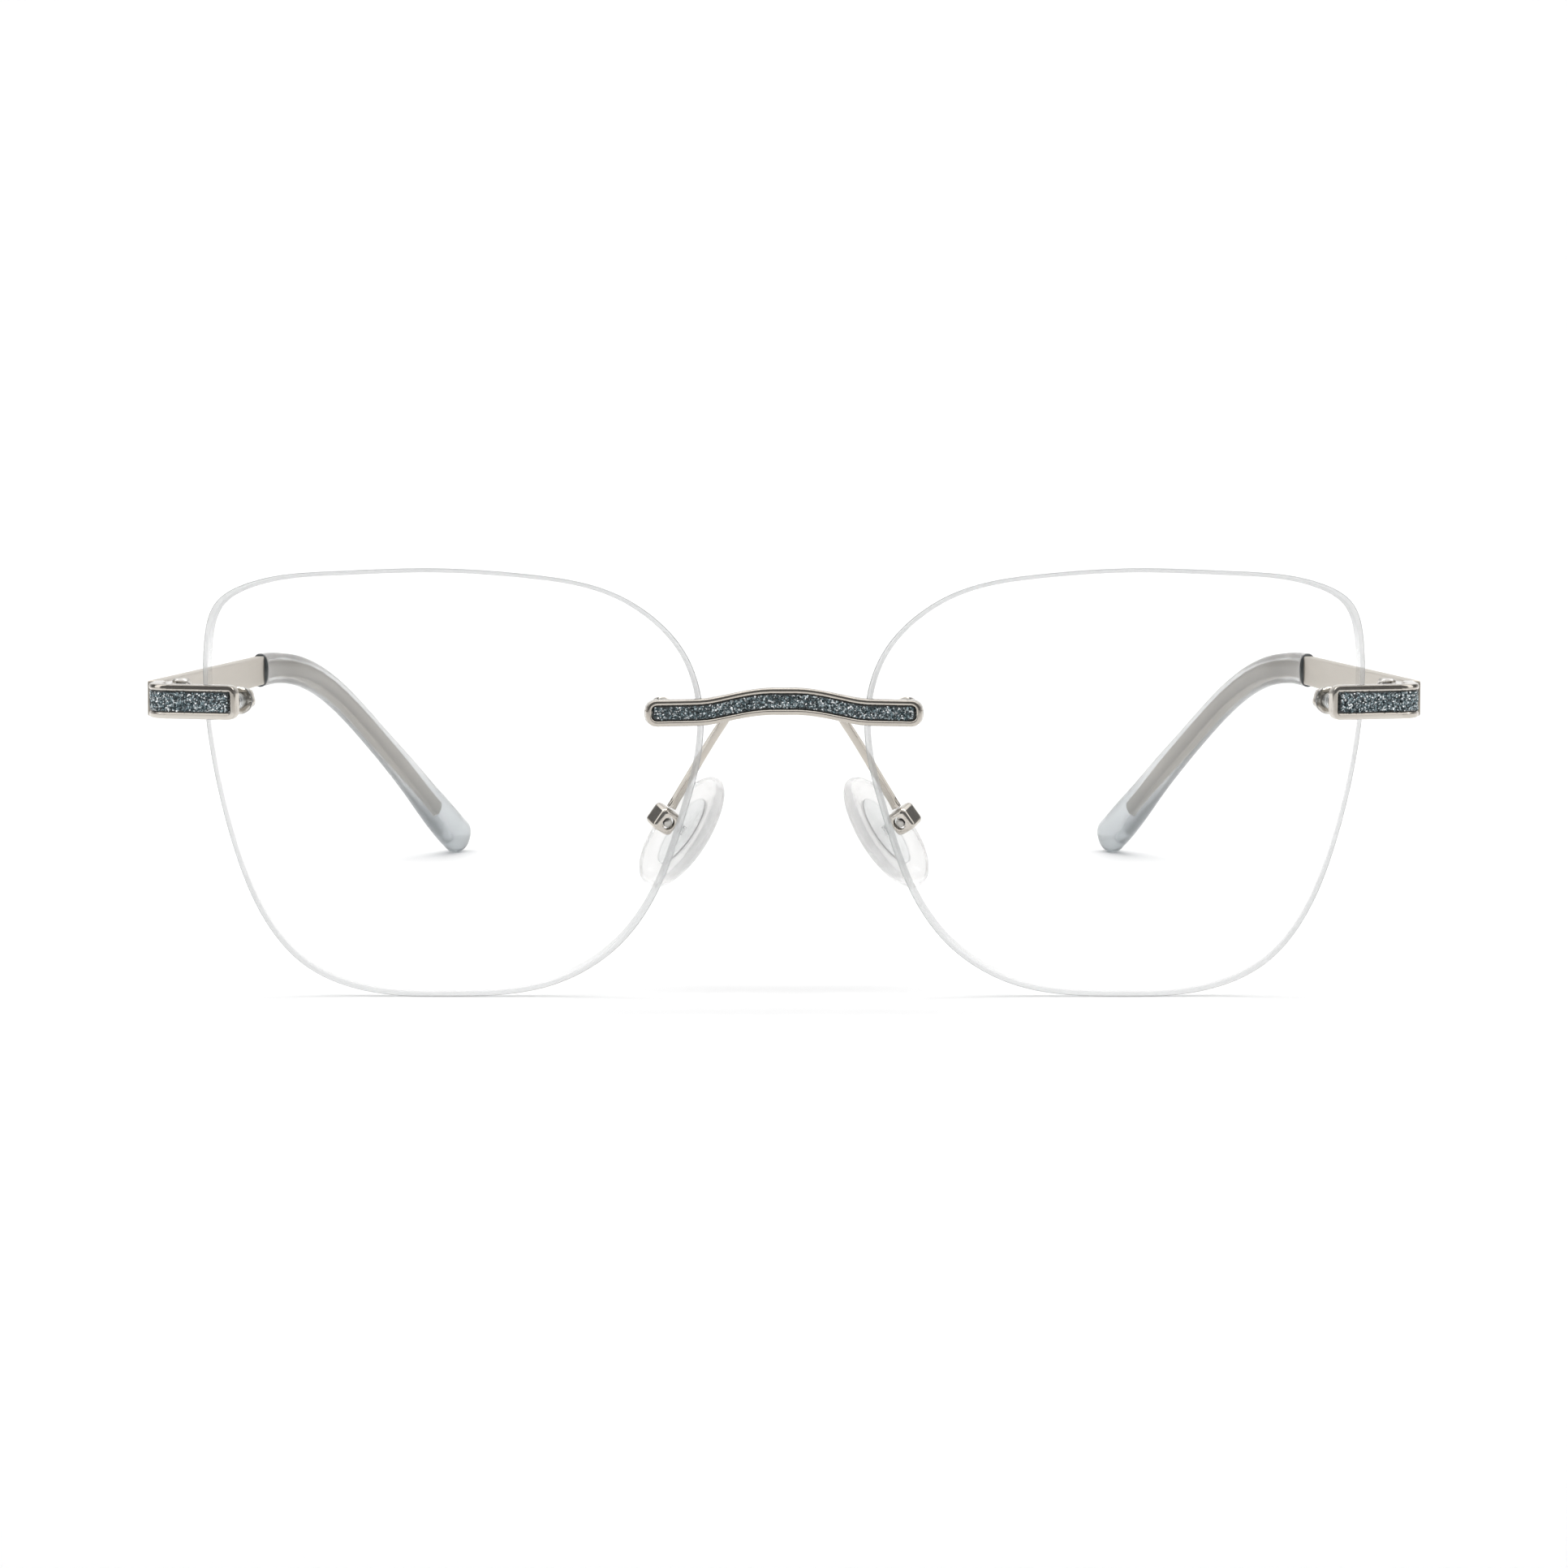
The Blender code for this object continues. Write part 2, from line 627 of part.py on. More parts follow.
def oval_plate(spare):
    """The stiff plate inside a nose pad, or the room for it when spare is the clearance round it."""
    rings = []
    for shrink, height in ((0.12, -0.3 - spare), (0.0, -0.2), (0.0, 0.05), (0.12, 0.15 + spare)):
        middle = pad_middle() + PAD_FACE * height
        grow = spare - shrink
        rings.append(ring_around(middle, PAD_LONG, PAD_ACROSS, PLATE_HALF_L + grow, PLATE_HALF_W + grow, 28))
    return stack(rings)


def nut_shape(at, axis):
    """A small domed cap nut with six flats and a blind hole."""
    dome = turned(NUT_DOME, at, axis, 24)
    flats = []
    for ring in turned(NUT_FLATS, at, axis, 24):
        middle = sum(ring, Vector()) / len(ring)
        cuts = [1.0 - FLAT_CUT * math.cos(6 * 2 * math.pi * i / 24) for i in range(24)]
        flats.append([middle + (p - middle) * cut for p, cut in zip(ring, cuts)])
    return stack(dome + flats + turned(NUT_BORE, at, axis, 24))


# The pieces of one side: side is 1 for the left and -1 for the right

def make_lens(side, word):
    """A lens with its two holes and what holds the metal to it."""
    lens = solid("lens_" + word, lens_shape(), side, "lens")
    for part, (x, z) in (("bridge", BRIDGE_STUD), ("end", END_STUD)):
        front = Vector((x, lens_y(x, z), z))
        axis = lens_axis(x)
        hole = rod([(HOLE_R, -2.0), (HOLE_R, 5.0)], front, axis)
        combine(lens, solid("cut_" + part + "_hole_" + word, hole, side), "DIFFERENCE")
        solid(part + "_stud_" + word, rod(STUD, front, axis, 16), side, "steel")
        solid(part + "_sleeve_" + word, tube(SLEEVE, front, axis, 20), side, "clear")
        solid(part + "_washer_" + word, tube(WASHER, front, axis, 24), side, "clear")
        solid(part + "_nut_" + word, nut_shape(front + axis * NUT_AT, axis), side, "metal")


def make_end_piece(side, word):
    """The end piece, its inlay and the half of the hinge that stays with the front."""
    solid("end_piece_" + word, end_shape(channel_layers(END_THICK, END_RIM)), side, "metal")
    solid("end_inlay_" + word, end_shape(inlay_layers(END_THICK, END_RIM)), side, "glitter")
    inner_x = END_OUTER - END_THICK
    plate = block((inner_x - 0.9, FRONT_LEAF_Y[0], FRONT_LEAF_Z[0]),
                  (inner_x - FIT, FRONT_LEAF_Y[1], FRONT_LEAF_Z[1]))
    leaf = solid("hinge_front_" + word, rounded(plate, 0.12, 1), side, "metal")
    arm = knuckle(-0.9, math.pi * 1.12, [(inner_x - 0.75, 6.6), (inner_x - 0.2, 6.9)], FRONT_BARREL_Z)
    combine(leaf, solid("add_front_knuckle_" + word, arm, side), "UNION")
    combine(leaf, hinge_bore("cut_front_bore_" + word, side), "DIFFERENCE")


def make_pad_mount(side, word):
    """The arm from the bridge, with the box and the screw that hold the nose pad."""
    solid("pad_arm_" + word, pad_arm_shape(), side, "metal")
    frame = (BOX_AT, PAD_LONG, BOX_ACROSS, BOX_FACE)
    cube = rounded(block([-BOX_HALF] * 3, [BOX_HALF] * 3, frame), BOX_ROUND, 3)
    box = solid("pad_box_" + word, cube, side, "metal")
    hollow = block((-HOLLOW_HALF, -HOLLOW_HALF, -0.85), (HOLLOW_HALF, HOLLOW_HALF, BOX_HALF + 1), frame)
    combine(box, solid("cut_box_hollow_" + word, hollow, side), "DIFFERENCE")
    window = rod([(WINDOW_R, -2.0), (WINDOW_R, -0.8)], BOX_AT, BOX_ACROSS)
    combine(box, solid("cut_box_window_" + word, window, side), "DIFFERENCE")
    thread = rod([(THREAD_R, 0.5), (THREAD_R, 2.0)], BOX_AT, BOX_ACROSS, 16)
    combine(box, solid("cut_box_thread_" + word, thread, side), "DIFFERENCE")
    solid("pad_screw_" + word, rod(PAD_SCREW, BOX_AT, BOX_ACROSS, 16), side, "steel")


def make_nose_pad(side, word):
    """The pad and its stiff core, which rock on the screw."""
    frame = (BOX_AT, PAD_LONG, BOX_ACROSS, BOX_FACE)
    core = solid("pad_core_" + word, oval_plate(0.0), side, "clear", BOX_AT)
    lug = block((-LUG_HALF, -0.5, -LUG_HALF), (LUG_HALF, 0.5, PAD_OUT), frame)
    combine(core, solid("add_core_lug_" + word, lug, side), "UNION")
    eye = rod([(EYE_R, -3.0), (EYE_R, 3.0)], BOX_AT, BOX_ACROSS, 16)
    combine(core, solid("cut_core_eye_" + word, eye, side), "DIFFERENCE")
    pad = solid("nose_pad_" + word, pad_shape(), side, "clear", BOX_AT, 60.0)
    combine(pad, solid("cut_pad_room_" + word, oval_plate(FIT), side), "DIFFERENCE")
    neck = block((-LUG_HALF - FIT, -0.5 - FIT, 0.0), (LUG_HALF + FIT, 0.5 + FIT, PAD_OUT), frame)
    combine(pad, solid("cut_pad_neck_" + word, neck, side), "DIFFERENCE")


def make_temple(side, word):
    """The temple with its tip and its half of the hinge, all of it with its origin on the hinge's axis."""
    pivot = (HINGE_X, HINGE_Y, 0.0)
    plate_x = BAR_START[0] - BAR_HALF_W
    plate = block((plate_x - 0.88, REAR_LEAF_Y[0], REAR_LEAF_Z[0]),
                  (plate_x - 0.16, REAR_LEAF_Y[1], REAR_LEAF_Z[1]))
    leaf = solid("hinge_rear_" + word, rounded(plate, 0.12, 1), side, "metal", pivot)
    corners = [(plate_x - 0.3, 9.2), (plate_x - 0.3, 11.6)]
    for level, heights in REAR_BARRELS_Z.items():
        arm = knuckle(math.pi * 0.5, math.pi * 2 - 0.35, corners, heights)
        combine(leaf, solid("add_rear_knuckle_" + level + "_" + word, arm, side), "UNION")
    combine(leaf, hinge_bore("cut_rear_bore_" + word, side), "DIFFERENCE")

    pin = solid("hinge_screw_" + word, rod(PIN, (HINGE_X, HINGE_Y, 0), (0, 0, 1)), side, "steel", pivot)
    slot = block((HINGE_X - 1.2, HINGE_Y - PIN_SLOT, PIN_SLOT_Z), (HINGE_X + 1.2, HINGE_Y + PIN_SLOT, 35.4))
    combine(pin, solid("cut_screw_slot_" + word, slot, side), "DIFFERENCE")

    solid("temple_bar_" + word, temple_shape(), side, "satin", pivot)
    solid("temple_tip_" + word, tip_shape(), side, "acetate", pivot)


solid("bridge_bar", bridge_shape(channel_layers(BRIDGE_THICK, BRIDGE_RIM)), 1, "metal")
solid("bridge_inlay", bridge_shape(inlay_layers(BRIDGE_THICK, BRIDGE_RIM)), 1, "glitter")
for side, word in ((1, "left"), (-1, "right")):
    make_lens(side, word)
    make_end_piece(side, word)
    make_pad_mount(side, word)
    make_nose_pad(side, word)
    make_temple(side, word)
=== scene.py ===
# %% [markdown]
# # Rimless eyeglasses
# The working parts of these glasses come ready made, in metres, with every hinge in place. This lesson
# gives them their looks. Two drilled lenses carry everything else: a metal bridge and two metal end pieces
# are bolted to them, the temples fold at small hinges, and clear pads rock on the ends of two thin arms.
# Each step first says what the piece is on the real glasses and then makes it.

# %% Load the ready-made parts
import json
import math
import random

import bmesh
import bpy
import numpy as np
from mathutils import Matrix, Vector

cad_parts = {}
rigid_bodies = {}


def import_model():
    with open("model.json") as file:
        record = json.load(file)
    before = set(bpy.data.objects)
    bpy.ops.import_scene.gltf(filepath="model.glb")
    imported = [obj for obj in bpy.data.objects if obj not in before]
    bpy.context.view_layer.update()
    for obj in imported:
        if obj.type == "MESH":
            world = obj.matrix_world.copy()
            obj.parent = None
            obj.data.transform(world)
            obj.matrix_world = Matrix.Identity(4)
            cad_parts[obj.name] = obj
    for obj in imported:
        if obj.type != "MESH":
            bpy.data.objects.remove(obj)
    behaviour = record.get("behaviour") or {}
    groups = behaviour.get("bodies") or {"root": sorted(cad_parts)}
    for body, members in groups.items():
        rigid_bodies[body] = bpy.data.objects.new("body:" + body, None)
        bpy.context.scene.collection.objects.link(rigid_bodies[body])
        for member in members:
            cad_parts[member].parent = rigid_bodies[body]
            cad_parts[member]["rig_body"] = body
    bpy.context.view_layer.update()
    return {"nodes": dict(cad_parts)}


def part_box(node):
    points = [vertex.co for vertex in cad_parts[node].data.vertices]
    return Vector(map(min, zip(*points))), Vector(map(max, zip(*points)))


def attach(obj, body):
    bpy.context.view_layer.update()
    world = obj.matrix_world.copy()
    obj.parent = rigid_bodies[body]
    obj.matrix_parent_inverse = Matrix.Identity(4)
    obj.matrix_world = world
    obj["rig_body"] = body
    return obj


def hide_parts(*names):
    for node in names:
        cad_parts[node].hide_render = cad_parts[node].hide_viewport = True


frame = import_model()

MM = 0.001
SIDES = {"left": 1, "right": -1}

# %% [markdown]
# ## The camera
# The glasses are looked at from straight in front and a little above, from about as far away as a reading
# distance. That is near enough for the temples to close in on each other as they go back, so the lens is
# only moderately long.

# %% Camera
CAMERA_DISTANCE = 0.46864
CAMERA_HEIGHT = 0.06619
CAMERA_DROP = 5.99
CAMERA_LENS = 84.46
camera_data = bpy.data.cameras.new("camera")
camera_data.sensor_width = 36.0
camera_data.lens = CAMERA_LENS
camera_data.clip_start = 0.01
camera = bpy.data.objects.new("camera", camera_data)
camera.location = (0.0, -CAMERA_DISTANCE, CAMERA_HEIGHT)
camera.rotation_euler = (math.radians(90.0 - CAMERA_DROP), 0.0, 0.0)
bpy.context.scene.collection.objects.link(camera)
bpy.context.scene.camera = camera
bpy.context.scene.view_settings.view_transform = "Standard"
print("camera at", tuple(camera.location))

# %% [markdown]
# ## Floor and backdrop
# A product table is one sheet of white paper that curves up behind the object, so that no line shows where
# the floor ends. A sheet like that is one edge, extruded along the floor and then up a quarter circle.

# %% Paper sweep
SWEEP_WIDTH = 6.0
SWEEP_FRONT = -1.2
SWEEP_BACK = 1.2
SWEEP_TURN = 0.5
SWEEP_TOP = 2.4

sweep = bmesh.new()
ends = [sweep.verts.new((x, SWEEP_FRONT, 0.0)) for x in (-SWEEP_WIDTH / 2, SWEEP_WIDTH / 2)]
row = [sweep.edges.new(ends)]
TURN_STEPS = 16
steps = [Vector((0.0, SWEEP_BACK - SWEEP_FRONT, 0.0))]
for k in range(TURN_STEPS):
    low, high = (math.pi / 2 * i / TURN_STEPS for i in (k, k + 1))
    steps.append(SWEEP_TURN * Vector((0.0, math.sin(high) - math.sin(low), math.cos(low) - math.cos(high))))
steps.append(Vector((0.0, 0.0, SWEEP_TOP - SWEEP_TURN)))
for step in steps:
    grown = bmesh.ops.extrude_edge_only(sweep, edges=row)["geom"]
    row = [part for part in grown if isinstance(part, bmesh.types.BMEdge)]
    bmesh.ops.translate(sweep, verts=[v for v in grown if isinstance(v, bmesh.types.BMVert)], vec=step)
bmesh.ops.recalc_face_normals(sweep, faces=sweep.faces)
for face in sweep.faces:
    face.smooth = True
paper_mesh = bpy.data.meshes.new("paper")
sweep.to_mesh(paper_mesh)
sweep.free()
paper = bpy.data.objects.new("paper", paper_mesh)
bpy.context.scene.collection.objects.link(paper)
print("paper sweep:", len(paper_mesh.polygons), "faces")

# %% [markdown]
# ## Light
# White light from large boxes keeps the paper white and the shadows soft. Polished metal shows what stands
# around it, so the room behind the camera is left dark grey: that is what draws the dark lines along the
# bright metal.

# %% Lamps and room
def soft_box(name, place, aim, size, watts):
    """A rectangular lamp that faces a point."""
    lamp = bpy.data.lights.new(name, "AREA")
    lamp.shape = "RECTANGLE"
    lamp.size, lamp.size_y = size
    lamp.energy = watts
    box = bpy.data.objects.new(name, lamp)
    box.location = place
    box.rotation_euler = (Vector(aim) - Vector(place)).to_track_quat("-Z", "Y").to_euler()
    bpy.context.scene.collection.objects.link(box)


ROOM_COLOR = (0.15, 0.15, 0.1515, 1.0)
soft_box("top box", (0.0, -0.05, 0.95), (0.0, 0.0, 0.0), (2.2, 1.5), 12.0)
soft_box("left box", (-0.95, -0.25, 0.40), (0.0, -0.02, 0.03), (0.5, 0.7), 1.5)
soft_box("right box", (0.95, -0.25, 0.40), (0.0, -0.02, 0.03), (0.5, 0.7), 1.5)
soft_box("back box", (0.0, 0.3, 1.5), (0.0, 1.7, 0.6), (2.6, 0.6), 26.0)
room = bpy.data.worlds.new("room")
room.use_nodes = True
room.node_tree.nodes["Background"].inputs["Color"].default_value = ROOM_COLOR
bpy.context.scene.world = room

# %% [markdown]
# ## A way to write finishes
# A finish is a small network of nodes. Sums between sockets are easier to read as sums, so a `Wire` holds
# one socket and turns `+`, `-` and `*` into Math nodes. `Finish` holds one material, and its `add` makes
# any node.

# %% Wire and Finish
class Wire:
    """An output socket that can be used in sums."""

    def __init__(self, finish, socket):
        self.finish = finish
        self.socket = socket

    def sum_with(self, operation, first, second):
        """A Math node on two values."""
        return self.finish.add("ShaderNodeMath", {"operation": operation}, {0: first, 1: second})

    def __add__(self, other):
        return self.sum_with("ADD", self, other)

    __radd__ = __add__

    def __sub__(self, other):
        return self.sum_with("SUBTRACT", self, other)

    def __rsub__(self, other):
        return self.sum_with("SUBTRACT", other, self)

    def __mul__(self, other):
        return self.sum_with("MULTIPLY", self, other)

    __rmul__ = __mul__


class Finish:
    """A material under construction, with fixed values on its main shader."""

    def __init__(self, name, **fixed):
        self.material = bpy.data.materials.new(name)
        self.material.use_nodes = True
        self.tree = self.material.node_tree
        self.shader = self.tree.nodes["Principled BSDF"]
        self.surface = self.tree.nodes["Material Output"].inputs["Surface"]
        for socket, value in fixed.items():
            self.set(socket.replace("_", " "), value)

    def set(self, socket, value):
        """Gives a socket of the main shader a value or a wire."""
        self.feed(self.shader.inputs[socket], value)

    def feed(self, socket, value):
        """Gives any socket a value or a wire; a colour may be written with three numbers."""
        if isinstance(value, Wire):
            self.tree.links.new(value.socket, socket)
        elif isinstance(value, tuple) and socket.type == "RGBA":
            socket.default_value = (*value[:3], 1.0)
        else:
            socket.default_value = value

    def add(self, kind, settings=None, inputs=None, output=0):
        """A node of any kind; settings are its options and inputs its sockets, by name or number."""
        node = self.tree.nodes.new(kind)
        for option, value in (settings or {}).items():
            if option == "stops":
                self.set_stops(node.color_ramp, value)
            else:
                setattr(node, option, value)
        for socket, value in (inputs or {}).items():
            self.feed(node.inputs[socket], value)
        return Wire(self, node.outputs[output])

    def set_stops(self, ramp, stops):
        """Fills a colour ramp with (position, grey or colour) stops."""
        while len(ramp.elements) < len(stops):
            ramp.elements.new(0.5)
        for element, (position, tone) in zip(ramp.elements, stops):
            element.position = position
            element.color = (*tone, 1.0) if isinstance(tone, tuple) else (tone, tone, tone, 1.0)

    def place(self, scale=(1.0, 1.0, 1.0), turn=(0.0, 0.0, 0.0)):
        """The piece's own coordinates, stretched and turned."""
        here = self.add("ShaderNodeTexCoord", output="Object")
        return self.add("ShaderNodeMapping", None, {"Vector": here, "Scale": scale, "Rotation": turn})

    def noise(self, size, detail=3.0, stretch=(1.0, 1.0, 1.0), turn=(0.0, 0.0, 0.0)):
        """Cloudy noise from 0 to 1, whose clouds are about that size in metres."""
        scale = tuple(s / size for s in stretch)
        where = self.place(scale, turn)
        return self.add("ShaderNodeTexNoise", None, {"Vector": where, "Scale": 1.0, "Detail": detail})

    def ramp(self, value, stops):
        """A colour for each value."""
        return self.add("ShaderNodeValToRGB", {"stops": stops}, {"Fac": value})

    def mix(self, share, first, second):
        """A colour between two colours."""
        return self.add("ShaderNodeMix", {"data_type": "RGBA"}, {0: share, 6: first, 7: second}, 2)

    def fit(self, value, low, high, to_low, to_high):
        """A value moved from one range to another, and held inside it."""
        sockets = {"Value": value, "From Min": low, "From Max": high, "To Min": to_low, "To Max": to_high}
        return self.add("ShaderNodeMapRange", None, sockets)

    def bump(self, height, depth, strength=1.0):
        """Small relief, whose depth is given in metres."""
        self.set("Normal", self.add("ShaderNodeBump", None,
                                    {"Height": height, "Distance": depth, "Strength": strength}))

    def edges(self):
        """How sharply the surface turns outwards: above a half on edges."""
        return self.add("ShaderNodeNewGeometry", output="Pointiness")


print("ready to mix finishes")

# %% [markdown]
# ## Metal
# The bridge, the end pieces and the small parts are plated with a warm, polished nickel. Even a polished
# part is not perfectly even: the polish leaves faint clouds in its gloss, handling dulls it, and the
# plating is a little brighter on its edges, where cloths rub it most. The temples are brushed along their
# length instead.

# %% Polished nickel, satin nickel and steel
def polished_nickel():
    """Bright plating with faint clouds in its gloss and worn edges."""
    metal = Finish("polished_nickel", Metallic=1.0)
    clouds = metal.noise(4.0 * MM, 4.0)
    specks = metal.noise(0.4 * MM, 2.0)
    wear = metal.fit(metal.edges(), 0.5, 0.62, 0.0, 1.0)
    plated = metal.mix(clouds, (0.47, 0.43, 0.38), (0.58, 0.54, 0.485))
    metal.set("Base Color", metal.mix(wear * 0.5, plated, (0.74, 0.71, 0.66)))
    metal.set("Roughness", 0.08 + clouds * 0.10 + specks * 0.05)
    metal.bump(specks, 0.004 * MM)
    return metal.material


def satin_nickel():
    """Nickel brushed along the temple, with a fine grain in its colour, gloss and relief."""
    metal = Finish("satin_nickel", Metallic=1.0)
    grain = metal.noise(0.22 * MM, 3.0, (1.0, 0.02, 1.0))
    clouds = metal.noise(12.0 * MM, 3.0, (1.0, 0.4, 1.0))
    wear = metal.fit(metal.edges(), 0.5, 0.6, 0.0, 1.0)
    brushed = metal.mix(grain, (0.41, 0.37, 0.315), (0.53, 0.485, 0.42))
    metal.set("Base Color", metal.mix(wear * 0.5, brushed, (0.76, 0.73, 0.68)))
    metal.set("Roughness", 0.30 + grain * 0.12 + clouds * 0.08)
    metal.bump(grain, 0.006 * MM)
    return metal.material


def screw_steel():
    """Steel with fine tool marks, darker in its low spots than on its edges."""
    metal = Finish("screw_steel", Metallic=1.0)
    marks = metal.noise(0.18 * MM, 2.0)
    wear = metal.fit(metal.edges(), 0.48, 0.6, 0.0, 1.0)
    metal.set("Base Color", metal.mix(wear, (0.30, 0.29, 0.28), (0.68, 0.66, 0.62)))
    metal.set("Roughness", 0.22 + marks * 0.15)
    metal.bump(marks, 0.005 * MM)
    return metal.material


NICKEL = polished_nickel()
SATIN = satin_nickel()
STEEL = screw_steel()
print("metals:", NICKEL.name, SATIN.name, STEEL.name)

# %% [markdown]
# ## Clear plastic and silicone
# Washers and sleeves are clear hard plastic. The nose pads are clear silicone, which is softer to the eye:
# its surface is a little matt, and looking through it everything is slightly pale. Both let light through,
# so they are given transmission; a very fine relief keeps their highlights from looking like glass. The
# silicone is partly plain see-through as well, so that less of the light through it is bent.

# %% Clear finishes
def clear_plastic():
    """Hard clear plastic with faint handling marks."""
    plastic = Finish("clear_plastic", Transmission_Weight=1.0, IOR=1.49)
    marks = plastic.noise(0.5 * MM, 3.0)
    plastic.set("Base Color", plastic.mix(marks, (0.90, 0.92, 0.93), (0.97, 0.98, 0.98)))
    plastic.set("Roughness", 0.05 + marks * 0.08)
    return plastic.material


def silicone():
    """Soft clear rubber, a little milky, with a faint skin."""
    rubber = Finish("silicone", Transmission_Weight=0.72, IOR=1.40, Alpha=0.62)
    clouds = rubber.noise(2.5 * MM, 3.0)
    skin = rubber.noise(0.3 * MM, 2.0)
    rubber.set("Base Color", rubber.mix(clouds, (0.86, 0.855, 0.845), (0.96, 0.955, 0.945)))
    rubber.set("Roughness", 0.06 + clouds * 0.10 + skin * 0.04)
    rubber.bump(skin + clouds, 0.02 * MM)
    return rubber.material


TIP_MOUTH_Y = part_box("temple_tip_left")[0].y


def tip_acetate():
    """Translucent cool grey plastic, with painted shade on its underside and a painted shadow at its mouth,
    and darker towards its low end.
    """
    tip = Finish("grey_acetate", Transmission_Weight=0.84, IOR=1.40, Coat_Weight=0.4)
    here = tip.place()
    height = tip.add("ShaderNodeSeparateXYZ", None, {"Vector": here}, "Z")
    back = tip.add("ShaderNodeSeparateXYZ", None, {"Vector": here}, "Y")
    facing = tip.add("ShaderNodeTexCoord", output="Normal")
    # Painted shade: faces that look downwards are darkened, so the clear rod reads darker underneath.
    under = tip.fit(tip.add("ShaderNodeSeparateXYZ", None, {"Vector": facing}, "Z"), -0.9, 0.3, 1.0, 0.0)
    clouds = tip.noise(6.0 * MM, 3.0, (1.0, 0.4, 1.0))
    skin = tip.noise(0.5 * MM, 2.0)
    deep = tip.fit(height, 3.0 * MM, 14.0 * MM, 1.0, 0.0)
    # Painted shadow: a dark band just behind the mouth, where the tip's end face lies in shade round the
    # bar.
    mouth = tip.fit(back, TIP_MOUTH_Y + 0.3 * MM, TIP_MOUTH_Y + 0.7 * MM, 1.0, 0.0)
    body = tip.mix(clouds, (0.83, 0.84, 0.845), (0.91, 0.915, 0.92))
    shaded = tip.mix(under * 0.6, body, (0.44, 0.48, 0.50))
    drop = tip.mix(deep * 0.7, shaded, (0.42, 0.46, 0.48))
    tip.set("Base Color", tip.mix(mouth, drop, (0.09, 0.12, 0.14)))
    tip.set("Roughness", 0.12 + clouds * 0.10 + skin * 0.04)
    tip.bump(skin, 0.01 * MM)
    return tip.material


PLASTIC = clear_plastic()
SILICONE = silicone()
ACETATE = tip_acetate()
print("clear finishes:", PLASTIC.name, SILICONE.name, ACETATE.name)

# %% [markdown]
# ## Lens finishes
# A lens is so clear that only its coating and its edge can be seen. The faces are mostly nothing at all,
# with a share of mirror that grows towards a grazing look, which is what Fresnel gives. The edge was
# ground with a fine wheel, so it scatters light like frosted glass and reads as a grey line, and the small
# bevel in front of it is darker.

# %% Lens faces, edge and bevel
def lens_face():
    """A coated clear surface; light that leaves the lens from inside passes without a mirror."""
    glass = Finish("lens_coating", Metallic=1.0)
    smears = glass.noise(9.0 * MM, 3.0)
    glass.set("Base Color", glass.mix(smears, (0.93, 0.96, 0.98), (0.97, 0.98, 0.99)))
    glass.set("Roughness", 0.02 + smears * 0.05)
    clear = Wire(glass, glass.tree.nodes.new("ShaderNodeBsdfTransparent").outputs[0])
    inside = glass.add("ShaderNodeNewGeometry", output="Backfacing")
    share = glass.add("ShaderNodeFresnel", None, {"IOR": 1.3}) * (1.0 - inside)
    mirror = Wire(glass, glass.shader.outputs[0])
    glass.feed(glass.surface, glass.add("ShaderNodeMixShader", None, {0: share, 1: clear, 2: mirror}))
    return glass.material


LENS_RADIUS = 106.0 * MM
LENS_APEX = Vector((36.4 * MM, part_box("lens_left")[0].y, 32.3 * MM))
FROST_TOP = (34.0 * MM, 43.0 * MM)
FROST_NOSE = (12.0 * MM, 26.0 * MM)
FROST_DEPTH = (1.0 * MM, 1.7 * MM)
FROST_LEAST = 0.15


def lens_edge(name, low, high, body):
    """The ground edge: frosted, with the fine lines of the wheel.

    Seen from the front, the back of the edge shows through the lens, wider in some places than in others.
    Where it would show too wide the frost thins out with depth, and the line stays about one width."""
    frost = Finish(name, IOR=1.45)
    here = frost.add("ShaderNodeVectorMath", {"operation": "ABSOLUTE"}, {0: frost.place()})
    middle = (LENS_APEX.x, -LENS_APEX.y - LENS_RADIUS, LENS_APEX.z)
    away = frost.add("ShaderNodeVectorMath", {"operation": "DISTANCE"}, {0: here, 1: middle}, "Value")
    height = frost.add("ShaderNodeSeparateXYZ", None, {"Vector": here}, "Z")
    across = frost.add("ShaderNodeSeparateXYZ", None, {"Vector": here}, "X")
    near_top = frost.fit(height, *FROST_TOP, FROST_LEAST, 1.0)
    near_nose = frost.fit(across, *FROST_NOSE, 1.0 - FROST_LEAST, 0.0)
    least = frost.fit(near_top + near_nose, 0.0, 1.0, 0.0, 1.0)
    frosted = frost.fit(LENS_RADIUS - away, *FROST_DEPTH, 1.0, 0.0)
    frost.set("Alpha", (least + (1.0 - least) * frosted) * body)
    lines = frost.noise(0.12 * MM, 2.0)
    clouds = frost.noise(6.0 * MM, 3.0)
    frost.set("Base Color", frost.mix(lines * 0.5 + clouds * 0.5, low, high))
    frost.set("Roughness", 0.32 + clouds * 0.2)
    frost.bump(lines, 0.01 * MM)
    return frost.material


LENS_FACE = lens_face()
LENS_EDGE = lens_edge("lens_ground_edge", (0.50, 0.51, 0.51), (0.60, 0.61, 0.61), 0.62)
LENS_LINE = lens_edge("lens_edge_bevel", (0.40, 0.41, 0.41), (0.50, 0.51, 0.51), 0.78)
print("lens finishes:", LENS_FACE.name, LENS_EDGE.name, LENS_LINE.name)

# %% [markdown]
# ## Sparkle
# The channels in the bridge and the end pieces are filled with dark resin packed with tiny flakes. The
# resin gets a cell pattern, where every cell has its own tone, so that it reads as flakes lying under the
# surface. The flakes that break the surface are real pieces, made further on, in four tones from dark to
# mirror-bright.

# %% Resin and flakes
CELL_SIZE = 0.17 * MM


